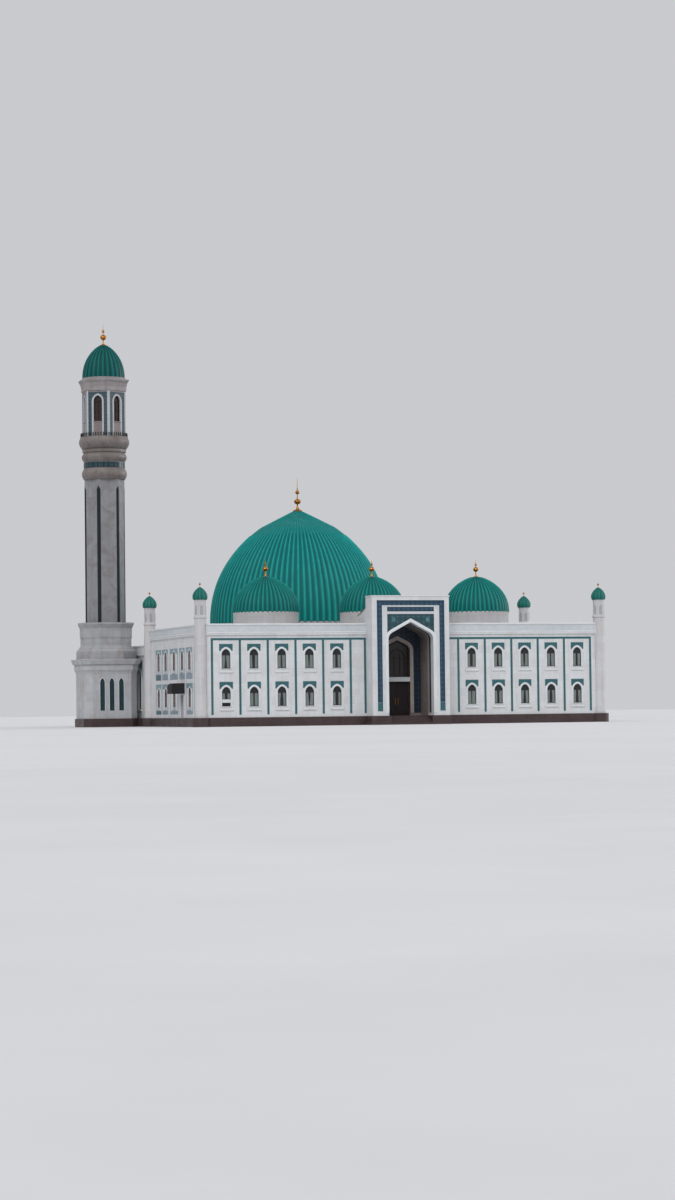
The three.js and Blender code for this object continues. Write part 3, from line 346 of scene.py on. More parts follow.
# The turrets' niche recesses are marble darkened with painted shade
NICHE_SHADE = mottled("turret_recess_marble_painted_shade", "#A8A6A8", "#989698", 0.2, 0.6)
STONE_PANEL = mottled("brown_stone_panel", "#8A8081", "#766C6D", 0.3, 0.6)


# Shapes


class Shape:
    """Points and faces of one piece, gathered in real metres, with numbers marked on its points."""

    def __init__(self):
        self.points = []
        self.faces = []
        self.marks = {}

    def join(self, points, faces):
        start = len(self.points)
        self.points += [Vector(p) for p in points]
        self.faces += [tuple(start + i for i in face) for face in faces]
        return self


def extrude(shape, outline, push):
    """A closed prism: an outline of points, pushed along."""
    count = len(outline)
    near = [Vector(p) for p in outline]
    far = [p + Vector(push) for p in near]
    sides = [(i, (i + 1) % count, (i + 1) % count + count, i + count) for i in range(count)]
    ends = [tuple(reversed(range(count))), tuple(range(count, 2 * count))]
    return shape.join(near + far, sides + ends)


def wall(x, y, turn=0.0):
    """Turns a place on an upright wall, across, up and out of it, into a point. The wall faces the
    front at turn 0, the left at -90 degrees, the right at 90 and the back at 180."""
    c, s = cos(radians(turn)), sin(radians(turn))
    return lambda across, up, out: Vector((x + across * c + out * s, y + across * s - out * c, up))


def plate(shape, put, outline, inner, outer):
    """A flat plate on a wall, from an outline of places across and up."""
    near = [put(u, z, inner) for u, z in outline]
    return extrude(shape, near, put(0, 0, outer) - put(0, 0, inner))


def block(shape, put, u0, u1, z0, z1, inner, outer):
    u0, u1 = sorted((u0, u1))
    return plate(shape, put, [(u0, z0), (u1, z0), (u1, z1), (u0, z1)], inner, outer)


def run(shape, put, section, u0, u1):
    """A moulding along a wall, from a section of places out and up."""
    u0, u1 = sorted((u0, u1))
    near = [put(u0, z, out) for out, z in section]
    return extrude(shape, near, put(u1, 0, 0) - put(u0, 0, 0))


def arc(centre, base, radius, sweep, count, start=0.0):
    """Points along an arc, anticlockwise where its sweep is positive, from level or from its start."""
    angles = [start + sweep * i / count for i in range(count + 1)]
    return [(centre + radius * cos(a), base + radius * sin(a)) for a in angles]


def pointed(half, sill, spring, apex, grow=0.0):
    """A two-centred pointed arch from its left foot to its right, moved out by grow."""
    rise = apex - spring
    radius = (half * half + rise * rise) / (2 * half)
    offset = radius - half
    sweep = acos(min(1.0, offset / (radius + grow)))
    right = arc(-offset, spring, radius + grow, sweep, 8)
    right[-1] = (0.0, right[-1][1])
    left = [(-x, z) for x, z in right]
    return [(-half - grow, sill)] + left + right[-2::-1] + [(half + grow, sill)]


def keel(half, sill, spring, apex, grow=0.0, haunch=0.5):
    """A keel arch, curved at its haunches by a share of its half width and straight to its apex,
    moved out by grow."""
    tight = half * haunch
    centre = half - tight
    rise = apex - spring
    sweep = atan2(rise, -centre) - acos(tight / hypot(centre, rise))
    right = arc(centre, spring, tight + grow, sweep, 10)
    left = [(-x, z) for x, z in right]
    top = apex + grow / sin(sweep)
    return [(-half - grow, sill)] + left + [(0.0, top)] + right[::-1] + [(half + grow, sill)]


def oblong(near, far, inner, outer):
    """The section of a plain bar that follows an arch."""
    return [(near, inner), (near, outer), (far, outer), (far, inner)]


def band(shape, put, curve, section):
    """A moulding that follows an arch. Each corner of the section is how far the arch is grown
    there and how far the corner stands out of the wall."""
    rings = [[put(u, z, out) for u, z in curve(grow)] for grow, out in section]
    length, corners = len(rings[0]), len(rings)
    faces = []
    for j in range(corners):
        k = (j + 1) % corners
        faces += [(j * length + i, j * length + i + 1, k * length + i + 1, k * length + i)
                  for i in range(length - 1)]
    faces.append(tuple(j * length for j in range(corners)))
    faces.append(tuple(j * length + length - 1 for j in reversed(range(corners))))
    return shape.join([p for ring in rings for p in ring], faces)


def spandrel(shape, put, curve, half, foot, top, inner, outer):
    """The two corners between an arch and the rectangle round it, as one plate."""
    inside = [(u, z) for u, z in curve if abs(u) < half - 1e-4 and z > foot]
    crossing = []
    for (u0, z0), (u1, z1) in zip(curve, curve[1:]):
        for edge in (-half, half):
            if (u0 - edge) * (u1 - edge) < 0:
                crossing.append((edge, z0 + (z1 - z0) * (edge - u0) / (u1 - u0)))
    if crossing:
        left = [c for c in crossing if c[0] < 0]
        right = [c for c in crossing if c[0] > 0]
        outline = [(-half, top)] + left + inside + right + [(half, top)]
    else:
        arch = [(inside[0][0], foot)] + inside + [(inside[-1][0], foot)]
        outline = [(-half, top), (-half, foot)] + arch + [(half, foot), (half, top)]
    return plate(shape, put, outline, inner, outer)


def lathe(profile, x, y, sides):
    """A profile of radius and height, from below to above, turned about an upright axis. It is
    closed at the axis, or back to its own start."""
    rings = []
    points = []
    for radius, z in profile:
        if radius < 1e-6:
            rings.append([len(points)] * sides)
            points.append((x, y, z))
            continue
        rings.append(list(range(len(points), len(points) + sides)))
        for i in range(sides):
            angle = 2 * pi * i / sides
            points.append((x + radius * sin(angle), y - radius * cos(angle), z))
    pairs = list(zip(rings, rings[1:]))
    if profile[0][0] > 1e-6:
        pairs.append((rings[-1], rings[0]))
    faces = []
    for low, high in pairs:
        for i in range(sides):
            j = (i + 1) % sides
            face = tuple(dict.fromkeys((low[i], low[j], high[j], high[i])))
            if len(face) > 2:
                faces.append(face)
    return Shape().join(points, faces)


def mesh_of(shape, smooth=False):
    """The mesh of a shape, its faces turned outwards, and smooth between its sharp edges."""
    mesh = bpy.data.meshes.new("shape")
    mesh.from_pydata(shape.points, [], shape.faces)
    shell = bmesh.new()
    shell.from_mesh(mesh)
    bmesh.ops.recalc_face_normals(shell, faces=shell.faces[:])
    if smooth:
        for face in shell.faces:
            face.smooth = True
        for edge in shell.edges:
            if len(edge.link_faces) == 2 and edge.calc_face_angle(0.0) > radians(38):
                edge.smooth = False
    shell.to_mesh(mesh)
    shell.free()
    return mesh


def stand(name, data):
    """A new object in the scene."""
    made = bpy.data.objects.new(name, data)
    bpy.context.scene.collection.objects.link(made)
    return made


def piece(name, source, material, body=SHELL, smooth=False, bevel=0.0, replaces=()):
    """Makes the object of a shape or a mesh in the model's frame, and says what it rides on."""
    mesh = mesh_of(source, smooth) if isinstance(source, Shape) else source
    mesh.name = name
    mesh.transform(TO_MODEL)
    mesh.materials.clear()
    mesh.materials.append(material)
    made = stand(name, mesh)
    if bevel:
        edges = made.modifiers.new("soft_edges", "BEVEL")
        edges.width = bevel * SCALE
        edges.segments = 2
        edges.limit_method = "ANGLE"
    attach(made, body)
    if replaces:
        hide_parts(*replaces)


# Node trees for what repeats or follows a rule


def new_tree(name, **sockets):
    """A tree with named inputs of each kind, a way to add nodes to it, and its inputs."""
    tree = bpy.data.node_groups.new(name, "GeometryNodeTree")
    for kind, labels in sockets.items():
        for label in labels.split(", "):
            tree.interface.new_socket(name=label, in_out="INPUT", socket_type="NodeSocket" + kind)
    tree.interface.new_socket(name="Geometry", in_out="OUTPUT", socket_type="NodeSocketGeometry")
    add = partial(add_node, tree)
    return tree, add, add("NodeGroupInput").outputs


def close_tree(tree, geometry, material):
    real = add_node(tree, "GeometryNodeRealizeInstances", (geometry,))
    painted = add_node(tree, "GeometryNodeSetMaterial", {"Geometry": real, "Material": material})
    add_node(tree, "NodeGroupOutput", (painted,))
    return tree


def rows_tree():
    """Repeats a piece along a row of bays, and the row up its storeys."""
    tree, add, given = new_tree("rows_of_bays", Geometry="Geometry", Int="Bays, Storeys", Vector="Pitch",
                                Float="Storey height", Material="Material")
    bays = add(LINE, {"Count": given["Bays"], "Offset": given["Pitch"]})
    rise = add(COMBINE, {"Z": given["Storey height"]})
    storeys = add(LINE, {"Count": given["Storeys"], "Offset": rise})
    grid = add(ON_POINTS, {"Points": bays, "Instance": storeys})
    places = add("GeometryNodeRealizeInstances", (grid,))
    copies = add(ON_POINTS, {"Points": places, "Instance": given["Geometry"]})
    return close_tree(tree, copies, given["Material"])


def ring_tree():
    """Repeats a piece round an upright axis. The piece is made about the origin."""
    tree, add, given = new_tree("ring_of_pieces", Geometry="Geometry", Int="Count", Float="Start",
                                Vector="Centre", Material="Material")
    places = add(LINE, {"Count": given["Count"], "Start Location": given["Centre"], "Offset": (0, 0, 0)})
    share = add("DIVIDE", (add("GeometryNodeInputIndex"), given["Count"]))
    turn = add(COMBINE, {"Z": add("MULTIPLY_ADD", (share, 2 * pi, given["Start"]))})
    copies = add(ON_POINTS, {"Points": places, "Instance": given["Geometry"], "Rotation": turn})
    return close_tree(tree, copies, given["Material"])


def dome_tree(name, onion):
    """A ribbed dome: a sheet of points wrapped round the axis, each rib a narrow rounded crest
    with a broad groove beside it, finer above a ring, with scalloped ends that hang over the
    drum."""
    tree, add, given = new_tree(
        name, Float="Radius, Base, Height, Depth, Crest, Upper share, Upper depth, Contrast, "
        "Upper contrast, Fullness, Shoulder, Hang, Seat", Int="Ribs, Rows, Steps", Vector="Centre",
        Material="Material")
    ribs, rows = given["Ribs"], given["Rows"]
    sheet = add("GeometryNodeMeshGrid", {
        "Vertices X": add("MULTIPLY_ADD", (ribs, given["Steps"], 1.0)),
        "Vertices Y": add("ADD", (rows, 1.0))})
    place = add(SPLIT, (add("GeometryNodeInputPosition"),)).outputs
    # Ribs are counted round the sheet, and its points are drawn together in the grooves
    count = add("MULTIPLY", (add("ADD", (place["X"], 0.5)), ribs))
    ripple = add("SINE", (add("MULTIPLY", (count, 2 * pi)),))
    shifted = add("MULTIPLY_ADD", (ripple, -0.08, count))
    angle = add("DIVIDE", (add("MULTIPLY", (shifted, 2 * pi)), ribs))
    # A rib goes from 0 in its groove to 1 on its crest
    centred = add("MULTIPLY_ADD", (add("FRACT", (shifted,)), 2.0, -1.0))
    wave = add("COSINE", (add("MULTIPLY", (centred, pi)),))
    rib = add("POWER", (add("MULTIPLY_ADD", (wave, 0.5, 0.5), use_clamp=True), given["Crest"]))
    row = add("MULTIPLY", (add("ADD", (place["Y"], 0.5)), rows))
    if onion:
        level = add(RANGE, {"Value": row, "From Min": 3.0, "From Max": rows})
        bulge = add("SINE", (add("MULTIPLY_ADD", (level, 0.66 * pi, 0.34 * pi)),))
        ratio = add("POWER", (add("MAXIMUM", (bulge, 0.0)), given["Fullness"]))
    else:
        quarter = add(RANGE, {"Value": row, "From Min": 3.0, "From Max": rows, "To Max": pi / 2})
        level = add("SINE", (quarter,))
        left = add("SUBTRACT", (1.0, add("POWER", (level, 2.2))))
        curve = add("POWER", (add("MAXIMUM", (left, 0.0)), given["Fullness"]))
        # Near the top the curve gives way to a straight slope where that is the narrower
        slope = add("MULTIPLY", (add("SUBTRACT", (1.0135, level)), given["Shoulder"]))
        ratio = add("MINIMUM", (curve, slope))
    above = add("GREATER_THAN", (level, given["Upper share"]))
    relief = add(MIX, {0: above, 2: given["Depth"], 3: given["Upper depth"]})
    near_top = add("MULTIPLY", (ratio, 5.0), use_clamp=True)
    raised = add("SUBTRACT", (rib, 0.5))
    swell = add("MULTIPLY", (raised, add("MULTIPLY", (relief, near_top))))
    outward = add("ADD", (add("MULTIPLY", (ratio, given["Radius"])), swell))
    height = add("MULTIPLY_ADD", (level, given["Height"], add("MULTIPLY", (swell, level))))
    # Row 0 is the middle of the foot, row 1 its seat on the drum and row 2 the scalloped lip
    at_lip = add("COMPARE", (row, 2.0, 0.5))
    hung = add("MULTIPLY", (add("MULTIPLY", (rib, given["Hang"])), at_lip))
    low = add("ADD", (add("SUBTRACT", (height, hung)), given["Base"]))
    seated = add("LESS_THAN", (row, 1.5))
    body = add(MIX, {0: seated, 2: outward, 3: given["Seat"]})
    reach = add("MULTIPLY", (body, add("GREATER_THAN", (row, 0.5))))
    x = add("MULTIPLY", (add("COSINE", (angle,)), reach))
    y = add("MULTIPLY", (add("SINE", (angle,)), reach))
    spot = add(COMBINE, (x, y, add(MIX, {0: seated, 2: low, 3: given["Base"]})))
    moved = add(VECTOR, (spot, given["Centre"]), operation="ADD")
    # The rib attribute paints a highlight on each crest and shade in each groove, and is drawn together where
    # ribs fade out
    contrast = add(MIX, {0: above, 2: given["Contrast"], 3: given["Upper contrast"]})
    rib_painted_light = add("MULTIPLY_ADD", (raised, contrast, 0.5))
    marked = add("GeometryNodeStoreNamedAttribute", {"Geometry": sheet, "Name": "rib", "Value": rib_painted_light})
    wrapped = add("GeometryNodeSetPosition", {"Geometry": marked, "Position": moved})
    closed = add("GeometryNodeMergeByDistance", {"Geometry": wrapped, "Distance": 0.0005})
    return close_tree(tree, add("GeometryNodeSetShadeSmooth", (closed,)), given["Material"])


ROWS = rows_tree()
RING = ring_tree()
DOME = dome_tree("ribbed_dome", False)
ONION = dome_tree("lobed_onion_dome", True)


def grow(tree, values, shape=None):
    """The plain mesh that a tree makes of a shape, with its named inputs set."""
    shape = shape or Shape()
    mesh = mesh_of(shape)
    for name, numbers in shape.marks.items():
        mesh.attributes.new(name, "FLOAT", "POINT").data.foreach_set("value", numbers)
    seed = stand("seed", mesh)
    modifier = seed.modifiers.new("made", "NODES")
    modifier.node_group = tree
    for socket in tree.interface.items_tree:
        if socket.in_out == "INPUT" and socket.name in values:
            modifier[socket.identifier] = values[socket.name]
    graph = bpy.context.evaluated_depsgraph_get()
    made = bpy.data.meshes.new_from_object(seed.evaluated_get(graph))
    seed.modifiers.remove(modifier)
    bpy.data.objects.remove(seed)
    bpy.data.meshes.remove(mesh)
    return made


def bays(name, shape, material, step, storeys=2):
    values = {"Bays": BAYS, "Pitch": step, "Storeys": storeys, "Storey height": STOREY, "Material": material}
    piece(name, grow(ROWS, values, shape), material)


def ring(name, shape, material, count, start, centre):
    values = {"Count": count, "Start": radians(start), "Centre": (*centre, 0.0), "Material": material}
    piece(name, grow(RING, values, shape), material)


# Camera, floor and light


def make_camera():
    """A camera far off and low, to the front left, with a long lens."""
    data = bpy.data.cameras.new("camera")
    data.sensor_width = SENSOR
    data.lens = SENSOR * FOCAL_PIXELS / PICTURE_HEIGHT
    data.clip_start, data.clip_end = 1.0, 2000.0
    camera = stand("camera", data)
    turn = Matrix.Rotation(CAMERA_YAW, 4, "Z") @ Matrix.Rotation(pi / 2 + CAMERA_PITCH, 4, "X")
    turn = turn @ Matrix.Rotation(-CAMERA_ROLL, 4, "Z")
    camera.matrix_world = Matrix.Translation(TO_MODEL @ CAMERA_PLACE) @ turn
    bpy.context.scene.camera = camera


def make_stage():
    """A pale floor and soft light: a bright even sky, a broad lamp from the front left, a weaker
    one from the front right, and a low glow from the right."""
    reach, thick = 900, 0.398
    corners = [(-reach, -900), (reach, -900), (reach, 1100), (-reach, 1100)]
    floor = extrude(Shape(), [(x, y, -0.4) for x, y in corners], (0, 0, thick))
    mesh = bpy.data.meshes.new("studio_floor")
    mesh.from_pydata([TO_MODEL @ p for p in floor.points], [], floor.faces)
    mesh.materials.append(mottled("pale_floor", "#D9D9DA", "#D2D2D4", 4.0, 0.9))
    stand("studio_floor", mesh)
    world = bpy.data.worlds.new("soft_sky")
    bpy.context.scene.world = world
    world.use_nodes = True
    tree = world.node_tree
    fill(tree, tree.nodes["Background"], {"Color": "#E9EAEE", "Strength": 0.72})
    # Each lamp's strength, spread and turn, in degrees
    lamps = {"key": (1.38, 45, (50, 0, -34)), "fill": (0.4, 80, (60, 0, 50)), "glow": (1.0, 30, (82, 0, 97))}
    for name, (strength, spread, turn) in lamps.items():
        data = bpy.data.lights.new(name, "SUN")
        data.energy = strength
        data.angle = radians(spread)
        stand(name, data).rotation_euler = [radians(a) for a in turn]
    bpy.context.scene.view_settings.view_transform = "Standard"


# Domes, drums and turrets


def ball(radius, height, flat=1.0, count=12):
    """The outline of a ball on its stem, from below to above, with a raised belt."""
    reach = pi / 2 * 0.86
    angles = [-reach + 2 * reach * i / count for i in range(count + 1)]
    outline = [(radius * cos(a), height + radius * flat * sin(a)) for a in angles]
    middle = count // 2
    belt = [(radius * 1.04, height - radius * 0.05), (radius * 1.04, height + radius * 0.05)]
    return outline[:middle] + belt + outline[middle + 1:]


def finial(name, dish, size, ball_z, flat, bead, bead_z, dome_top, tip, x, y):
    """A gilt finial: a dish on the dome's crown, a stem, a ball, a bead and a needle."""
    base = dome_top - 0.14
    stem = dish * 0.17
    profile = [
        (0, base), (dish * 0.96, base), (dish * 1.02, base + 0.06), (dish * 1.02, base + dish * 0.22),
        (dish * 0.8, base + dish * 0.34), (dish * 0.42, base + dish * 0.48), (stem * 1.5, base + dish * 0.8),
        (stem, base + dish * 1.1), (stem, ball_z - size * flat * 1.2), *ball(size, ball_z, flat),
        (stem * 0.8, ball_z + size * flat * 1.2), (stem * 0.6, bead_z - bead * 1.4),
        *ball(bead, bead_z, 0.92, 8), (bead * 0.3, bead_z + bead * 1.3), (bead * 0.16, bead_z + bead * 2.2),
        (bead * 0.1, tip - bead), (0, tip)]
    piece(name, lathe(profile, x, y, 32), GILT, smooth=True)


# What the dome tree is given for each kind of dome. A shoulder of 99 has no effect, and an upper
# share of 2 keeps one depth of rib all the way up.
PLAIN_DOME = {"Steps": 8, "Crest": 1.3, "Upper share": 2.0, "Upper depth": 0.0, "Contrast": 1.0,
              "Upper contrast": 1.0, "Shoulder": 99.0}
MAIN_DOME = {"Radius": 11.2, "Base": 12.75, "Height": 14.35, "Ribs": 90, "Rows": 66, "Depth": 0.13,
             "Upper share": 0.77, "Upper depth": 0.035, "Upper contrast": 0.4, "Fullness": 0.735,
             "Shoulder": 2.516, "Hang": 0.12, "Seat": 10.8}
SMALL_DOME = {"Radius": 3.83, "Base": 13.08, "Height": 4.17, "Ribs": 44, "Rows": 40, "Depth": 0.09,
              "Fullness": 0.65, "Hang": 0.09, "Seat": 3.7}
TOWER_DOME = {"Radius": 2.53, "Base": 42.03, "Height": 4.13, "Ribs": 26, "Rows": 40, "Depth": 0.08,
              "Fullness": 0.72, "Hang": 0.05, "Seat": 2.45}
TURRET_DOME = {"Radius": 0.82, "Base": 14.061, "Height": 1.42, "Ribs": 12, "Rows": 24, "Depth": 0.035,
               "Crest": 0.6, "Contrast": 0.6, "Fullness": 0.75, "Hang": 0.0, "Seat": 0.47}


def dome(name, node, tree, sizes, x, y, sheet):
    mesh = grow(tree, {**PLAIN_DOME, **sizes, "Centre": (x, y, 0.0), "Material": sheet})
    piece(name, mesh, sheet, replaces=(node,))


def domes():
    """The ribs and the gilt finial of each dome."""
    dome("main_dome_ribs", "main_dome", DOME, MAIN_DOME, 0, MAIN_Y, DOME_GREEN)
    finial("main_finial", 0.6, 0.44, 28.22, 0.76, 0.27, 29.41, 27.1, 31.3, 0, MAIN_Y)
    for place, x in SMALL_XS.items():
        dome(f"small_dome_{place}_ribs", f"small_dome_{place}", DOME, SMALL_DOME, x, SMALL_Y, SMALL_GREEN_SHADED)
        finial(f"small_finial_{place}", 0.37, 0.31, 18.1, 0.92, 0.14, 18.65, 17.25, 19.25, x, SMALL_Y)
    dome("minaret_dome_ribs", "minaret_dome", DOME, TOWER_DOME, TOWER.x, TOWER.y, TOWER_GREEN_SHADED)
    finial("minaret_finial", 0.37, 0.36, 47.02, 0.95, 0.17, 47.74, 46.16, 48.65, TOWER.x, TOWER.y)


def faced(name, node, profile, x, y, sides, stone, tones, slab, radius, mottle=0.45):
    """A turned facing, its marble slabs laid round its own axis, that stands in for a solid."""
    facing = marble(stone, *tones, slab, (x, y), radius, mottle)
    piece(name, lathe(profile, x, y, sides), facing, smooth=True, replaces=(node,))


DRUM_TONES = ("#C9C9CB", "#BABABC", "#A2A1A3", "#BDB3B0")
TURRET_TONES = ("#BDBDBF", "#AFAEB0", "#989698", "#B5A9A5")
# The gallery's tones are the minaret's darkest, partly painted shade
GALLERY_TONES = ("#78726F", "#6A6462", "#544D4B", "#5E524D")


def drums():
    """Marble facings of the drums under the main and the small domes."""
    small = [(3.34, 10.41), (3.86, 10.41), (3.86, 11.0), (3.78, 11.08), (3.78, 12.86), (3.81, 12.92),
             (3.81, 13.07), (3.34, 13.07)]
    for place, x in SMALL_XS.items():
        faced(f"drum_{place}_facing", f"small_drum_{place}", small, x, SMALL_Y, 96, f"drum_marble_{place}",
              DRUM_TONES, (1.32, 0.66), 3.78)
    main = [(10.2, 8.91), (11.12, 8.91), (11.12, 9.6), (11.0, 9.72), (11.0, 12.4), (11.06, 12.48),
            (11.06, 12.74), (10.2, 12.74)]
    faced("main_drum_facing", "main_drum", main, 0, MAIN_Y, 160, "main_drum_marble", DRUM_TONES,
          (1.92, 0.8), 11.0)


def turret(place, x, y):
    """One turret: its facing, blind niches, dome and finial."""
    shaft = [(0, 1.002), (0.74, 1.002), (0.74, 1.35), (0.7, 1.42), (0.7, 10.4), (0.64, 11.4),
             (0.64, 11.94), (0.67, 11.97), (0.745, 12.06), (0.745, 12.2), (0.68, 12.25), (0.63, 12.29),
             (0.63, 13.84), (0.64, 13.88), (0.67, 13.94), (0.67, 14.06), (0, 14.06)]
    faced(f"turret_{place}_shaft", f"turret_{place}", shaft, x, y, 48, f"turret_marble_{place}",
          TURRET_TONES, (1.1, 0.9), TURRET_RADIUS)
    put = wall(0, 0)
    rim = [(0.0, 0.56), (0.0, 0.64), (0.035, 0.63), (0.035, 0.56)]
    arch = band(Shape(), put, partial(pointed, 0.19, 12.42, 13.22, 13.5), rim)
    ring(f"turret_{place}_niches", arch, WHITE_MARBLE, 6, 0, (x, y))
    recess = plate(Shape(), put, pointed(0.188, 12.42, 13.22, 13.497), 0.56, 0.632)
    ring(f"turret_{place}_recesses", recess, NICHE_SHADE, 6, 0, (x, y))
    dome(f"turret_dome_{place}_lobes", f"turret_dome_{place}", ONION, TURRET_DOME, x, y, TURRET_GREEN)
    bead = [(0, 15.34), (0.075, 15.34), (0.05, 15.46), (0.028, 15.56), *ball(0.115, 15.8, 1.0, 8),
            (0.02, 15.93), (0.012, 16.0), (0, 16.12)]
    piece(f"turret_{place}_finial", lathe(bead, x, y, 20), GILT, smooth=True)


def turrets():
    """Slim round corner turrets: a ring at the parapet, blind niches and a lobed dome."""
    for side, x, *_ in SIDES:
        for end, y in zip(("front", "back"), TURRET_YS):
            turret(f"{end}_{side}", x, y)


# Front block


def cornice(foot, neck, top):
    """The section of a parapet's cornice: a lower moulding, a plain face and a coping."""
    return [(0.1, foot), (0.19, foot + 0.04), (0.21, foot + 0.1), (0.17, neck), (0.165, neck + 0.08),
            (0.165, top - 0.26), (0.2, top - 0.22), (0.27, top - 0.16), (0.27, top - 0.04), (0.22, top),
            (-0.1, top), (-0.1, top - 0.015), (0.1, top - 0.015)]


BLOCK_CORNICE = cornice(10.32, 10.47, 11.42)
HALL_CORNICE = cornice(8.5, 8.66, 9.72)


def parapet(coping, fascia, put, u0, u1):
    run(coping, put, BLOCK_CORNICE, u0, u1)
    block(fascia, put, u0, u1, 10.55, 11.15, 0.15, 0.185)


def front_mouldings():
    """Tile trims between the windows, and the parapet's face and cornice."""
    trims, fascia, copings = Shape(), Shape(), Shape()
    put = wall(0, 0)
    half, foot, low, top, face = 0.125, 1.32, 9.57, 9.81, 0.018
    for side in (-1, 1):
        parapet(copings, fascia, put, side * (PORTAL_HALF + 0.01), side * (HALF_WIDTH - TURRET_RADIUS + 0.02))
        edge = ROW_START + BAY_PITCH / 2 + half
        block(trims, put, side * (PORTAL_HALF + 0.01), side * edge, low, top, SUNK, face)
        for k in range(BAYS + 1):
            u = side * (FIRST_BAY + (k - 0.5) * BAY_PITCH)
            block(trims, put, u - half, u + half, foot, low, SUNK, face)
        u = side * 4.69
        block(trims, put, u - 0.12, u + 0.12, foot, low, SUNK, face)
    piece("front_tile_trims", trims, TEAL_TILE)
    piece("front_fascia", fascia, FASCIA)
    piece("front_cornice", copings, WHITE_MARBLE)


def window(put, half, sill, spring, apex, width, corners, ledge, depth=0.1, proud=0.05, bar=0.055,
           mullion=True):
    """One arched window's parts: surround, tile corners, sill, bars and pane. The corners are given
    by their half width, foot and top, and the sill's ledge by its half width, foot, top and reach."""
    parts = {key: Shape() for key in WINDOW_FINISH}
    bars = parts["bars"]
    curve = partial(pointed, half, sill, spring, apex)
    back = -depth - 0.12
    band(parts["surround"], put, curve, [
        (-0.03, back), (-0.03, proud * 0.4), (0.0, proud), (0.1, proud), (0.13, proud * 0.6),
        (width, proud * 0.6), (width, SUNK), (0.01, SUNK), (0.01, back)])
    spandrel(parts["corners"], put, curve(width), *corners, SUNK, 0.015)
    reach, foot, top, out = ledge
    run(parts["sill"], put, [
        (SUNK, foot), (out * 0.4, foot + 0.02), (out * 0.85, foot + 0.08), (out, foot + 0.12),
        (out, top - 0.04), (out * 0.5, top), (SUNK, top)], -reach, reach)
    run(parts["sill"], put, [
        (back, sill - 0.01), (0.05, sill - 0.03), (0.07, sill - 0.01), (0.07, sill + 0.02),
        (back, sill + 0.05)], -half - 0.04, half + 0.04)
    inside, low = half - 0.03, sill + 0.04
    light = partial(pointed, inside, low, spring, apex - 0.04)
    front, rear = -depth, -depth - 0.1
    band(bars, put, light, oblong(0.0, -bar, rear, front))
    block(bars, put, -inside, inside, low, low + 1.2 * bar, rear, front)
    block(bars, put, -inside, inside, spring - 0.05, spring + 0.02, rear, front)
    if mullion:
        block(bars, put, -0.035, 0.035, low, spring, rear + 0.01, front - 0.01)
        block(bars, put, -0.018, 0.018, spring, apex - 0.06, rear + 0.01, front - 0.02)
    plate(parts["pane"], put, light(-0.01), -depth - 0.06, -depth - 0.045)
    outline = light(-0.01) * 2
    parts["pane"].marks = {"across": [u / half for u, z in outline],
                           "up": [(z - sill) / (spring - 0.05 - sill) for u, z in outline]}
    return parts


WINDOW_FINISH = {"surround": WHITE_MARBLE, "corners": TEAL_TILE, "sill": WHITE_MARBLE, "bars": BAR_PAINT,
                 "pane": GLASS}
SIDE_FINISH = {**WINDOW_FINISH, "panels": SIDE_PANEL, "last_panels": TEAL_TILE, "corners": SIDE_TILE,
               "sill": SIDE_SILL, "pane": BROWN_GLASS}
HALL_FINISH = {"surround": WHITE_MARBLE, "corners": TEAL_TILE, "bars": BAR_PAINT, "pane": BROWN_GLASS}


def front_windows():
    """The two storeys of windows on each side of the portal."""
    for side, start in (("left", -ROW_START), ("right", FIRST_BAY)):
        parts = window(wall(start, 0), 0.53, 2.2, 3.78, 4.44, 0.2, (0.77, 4.2, 4.97), (0.76, 1.7, 1.98, 0.12))
        for key, shape in parts.items():
            bays(f"front_window_{key}_{side}", shape, WINDOW_FINISH[key], (BAY_PITCH, 0, 0))
    # The lowest window at the left has a shorter light over a white panel with a vent
    put = wall(-ROW_START, 0)
    piece("vent_window_panel", block(Shape(), put, -0.5, 0.5, 2.22, 3.02, -0.15, -0.06), WHITE_MARBLE)
    vent = Shape()
    for k in range(5):
        z = 2.31 + k * 0.075
        run(vent, put, [(-0.07, z), (-0.03, z - 0.03), (-0.02, z - 0.02), (-0.06, z + 0.03)], -0.44, 0.44)
    block(vent, put, -0.47, 0.47, 2.26, 2.66, -0.07, -0.055)
    piece("vent_window_louvre", vent, BAR_PAINT)


# Portal

PORTAL_ARCH = partial(keel, 2.65, 1.3, 9.5, 11.48, haunch=0.35)
NICHE_ROOM = partial(keel, NICHE_HALF, 1.3, 9.5, 11.58, haunch=0.35)
DOORWAY = partial(keel, 1.48, 1.3, 8.38, 9.58)
SCREEN = partial(keel, 1.47, 5.36, 8.38, 9.57)


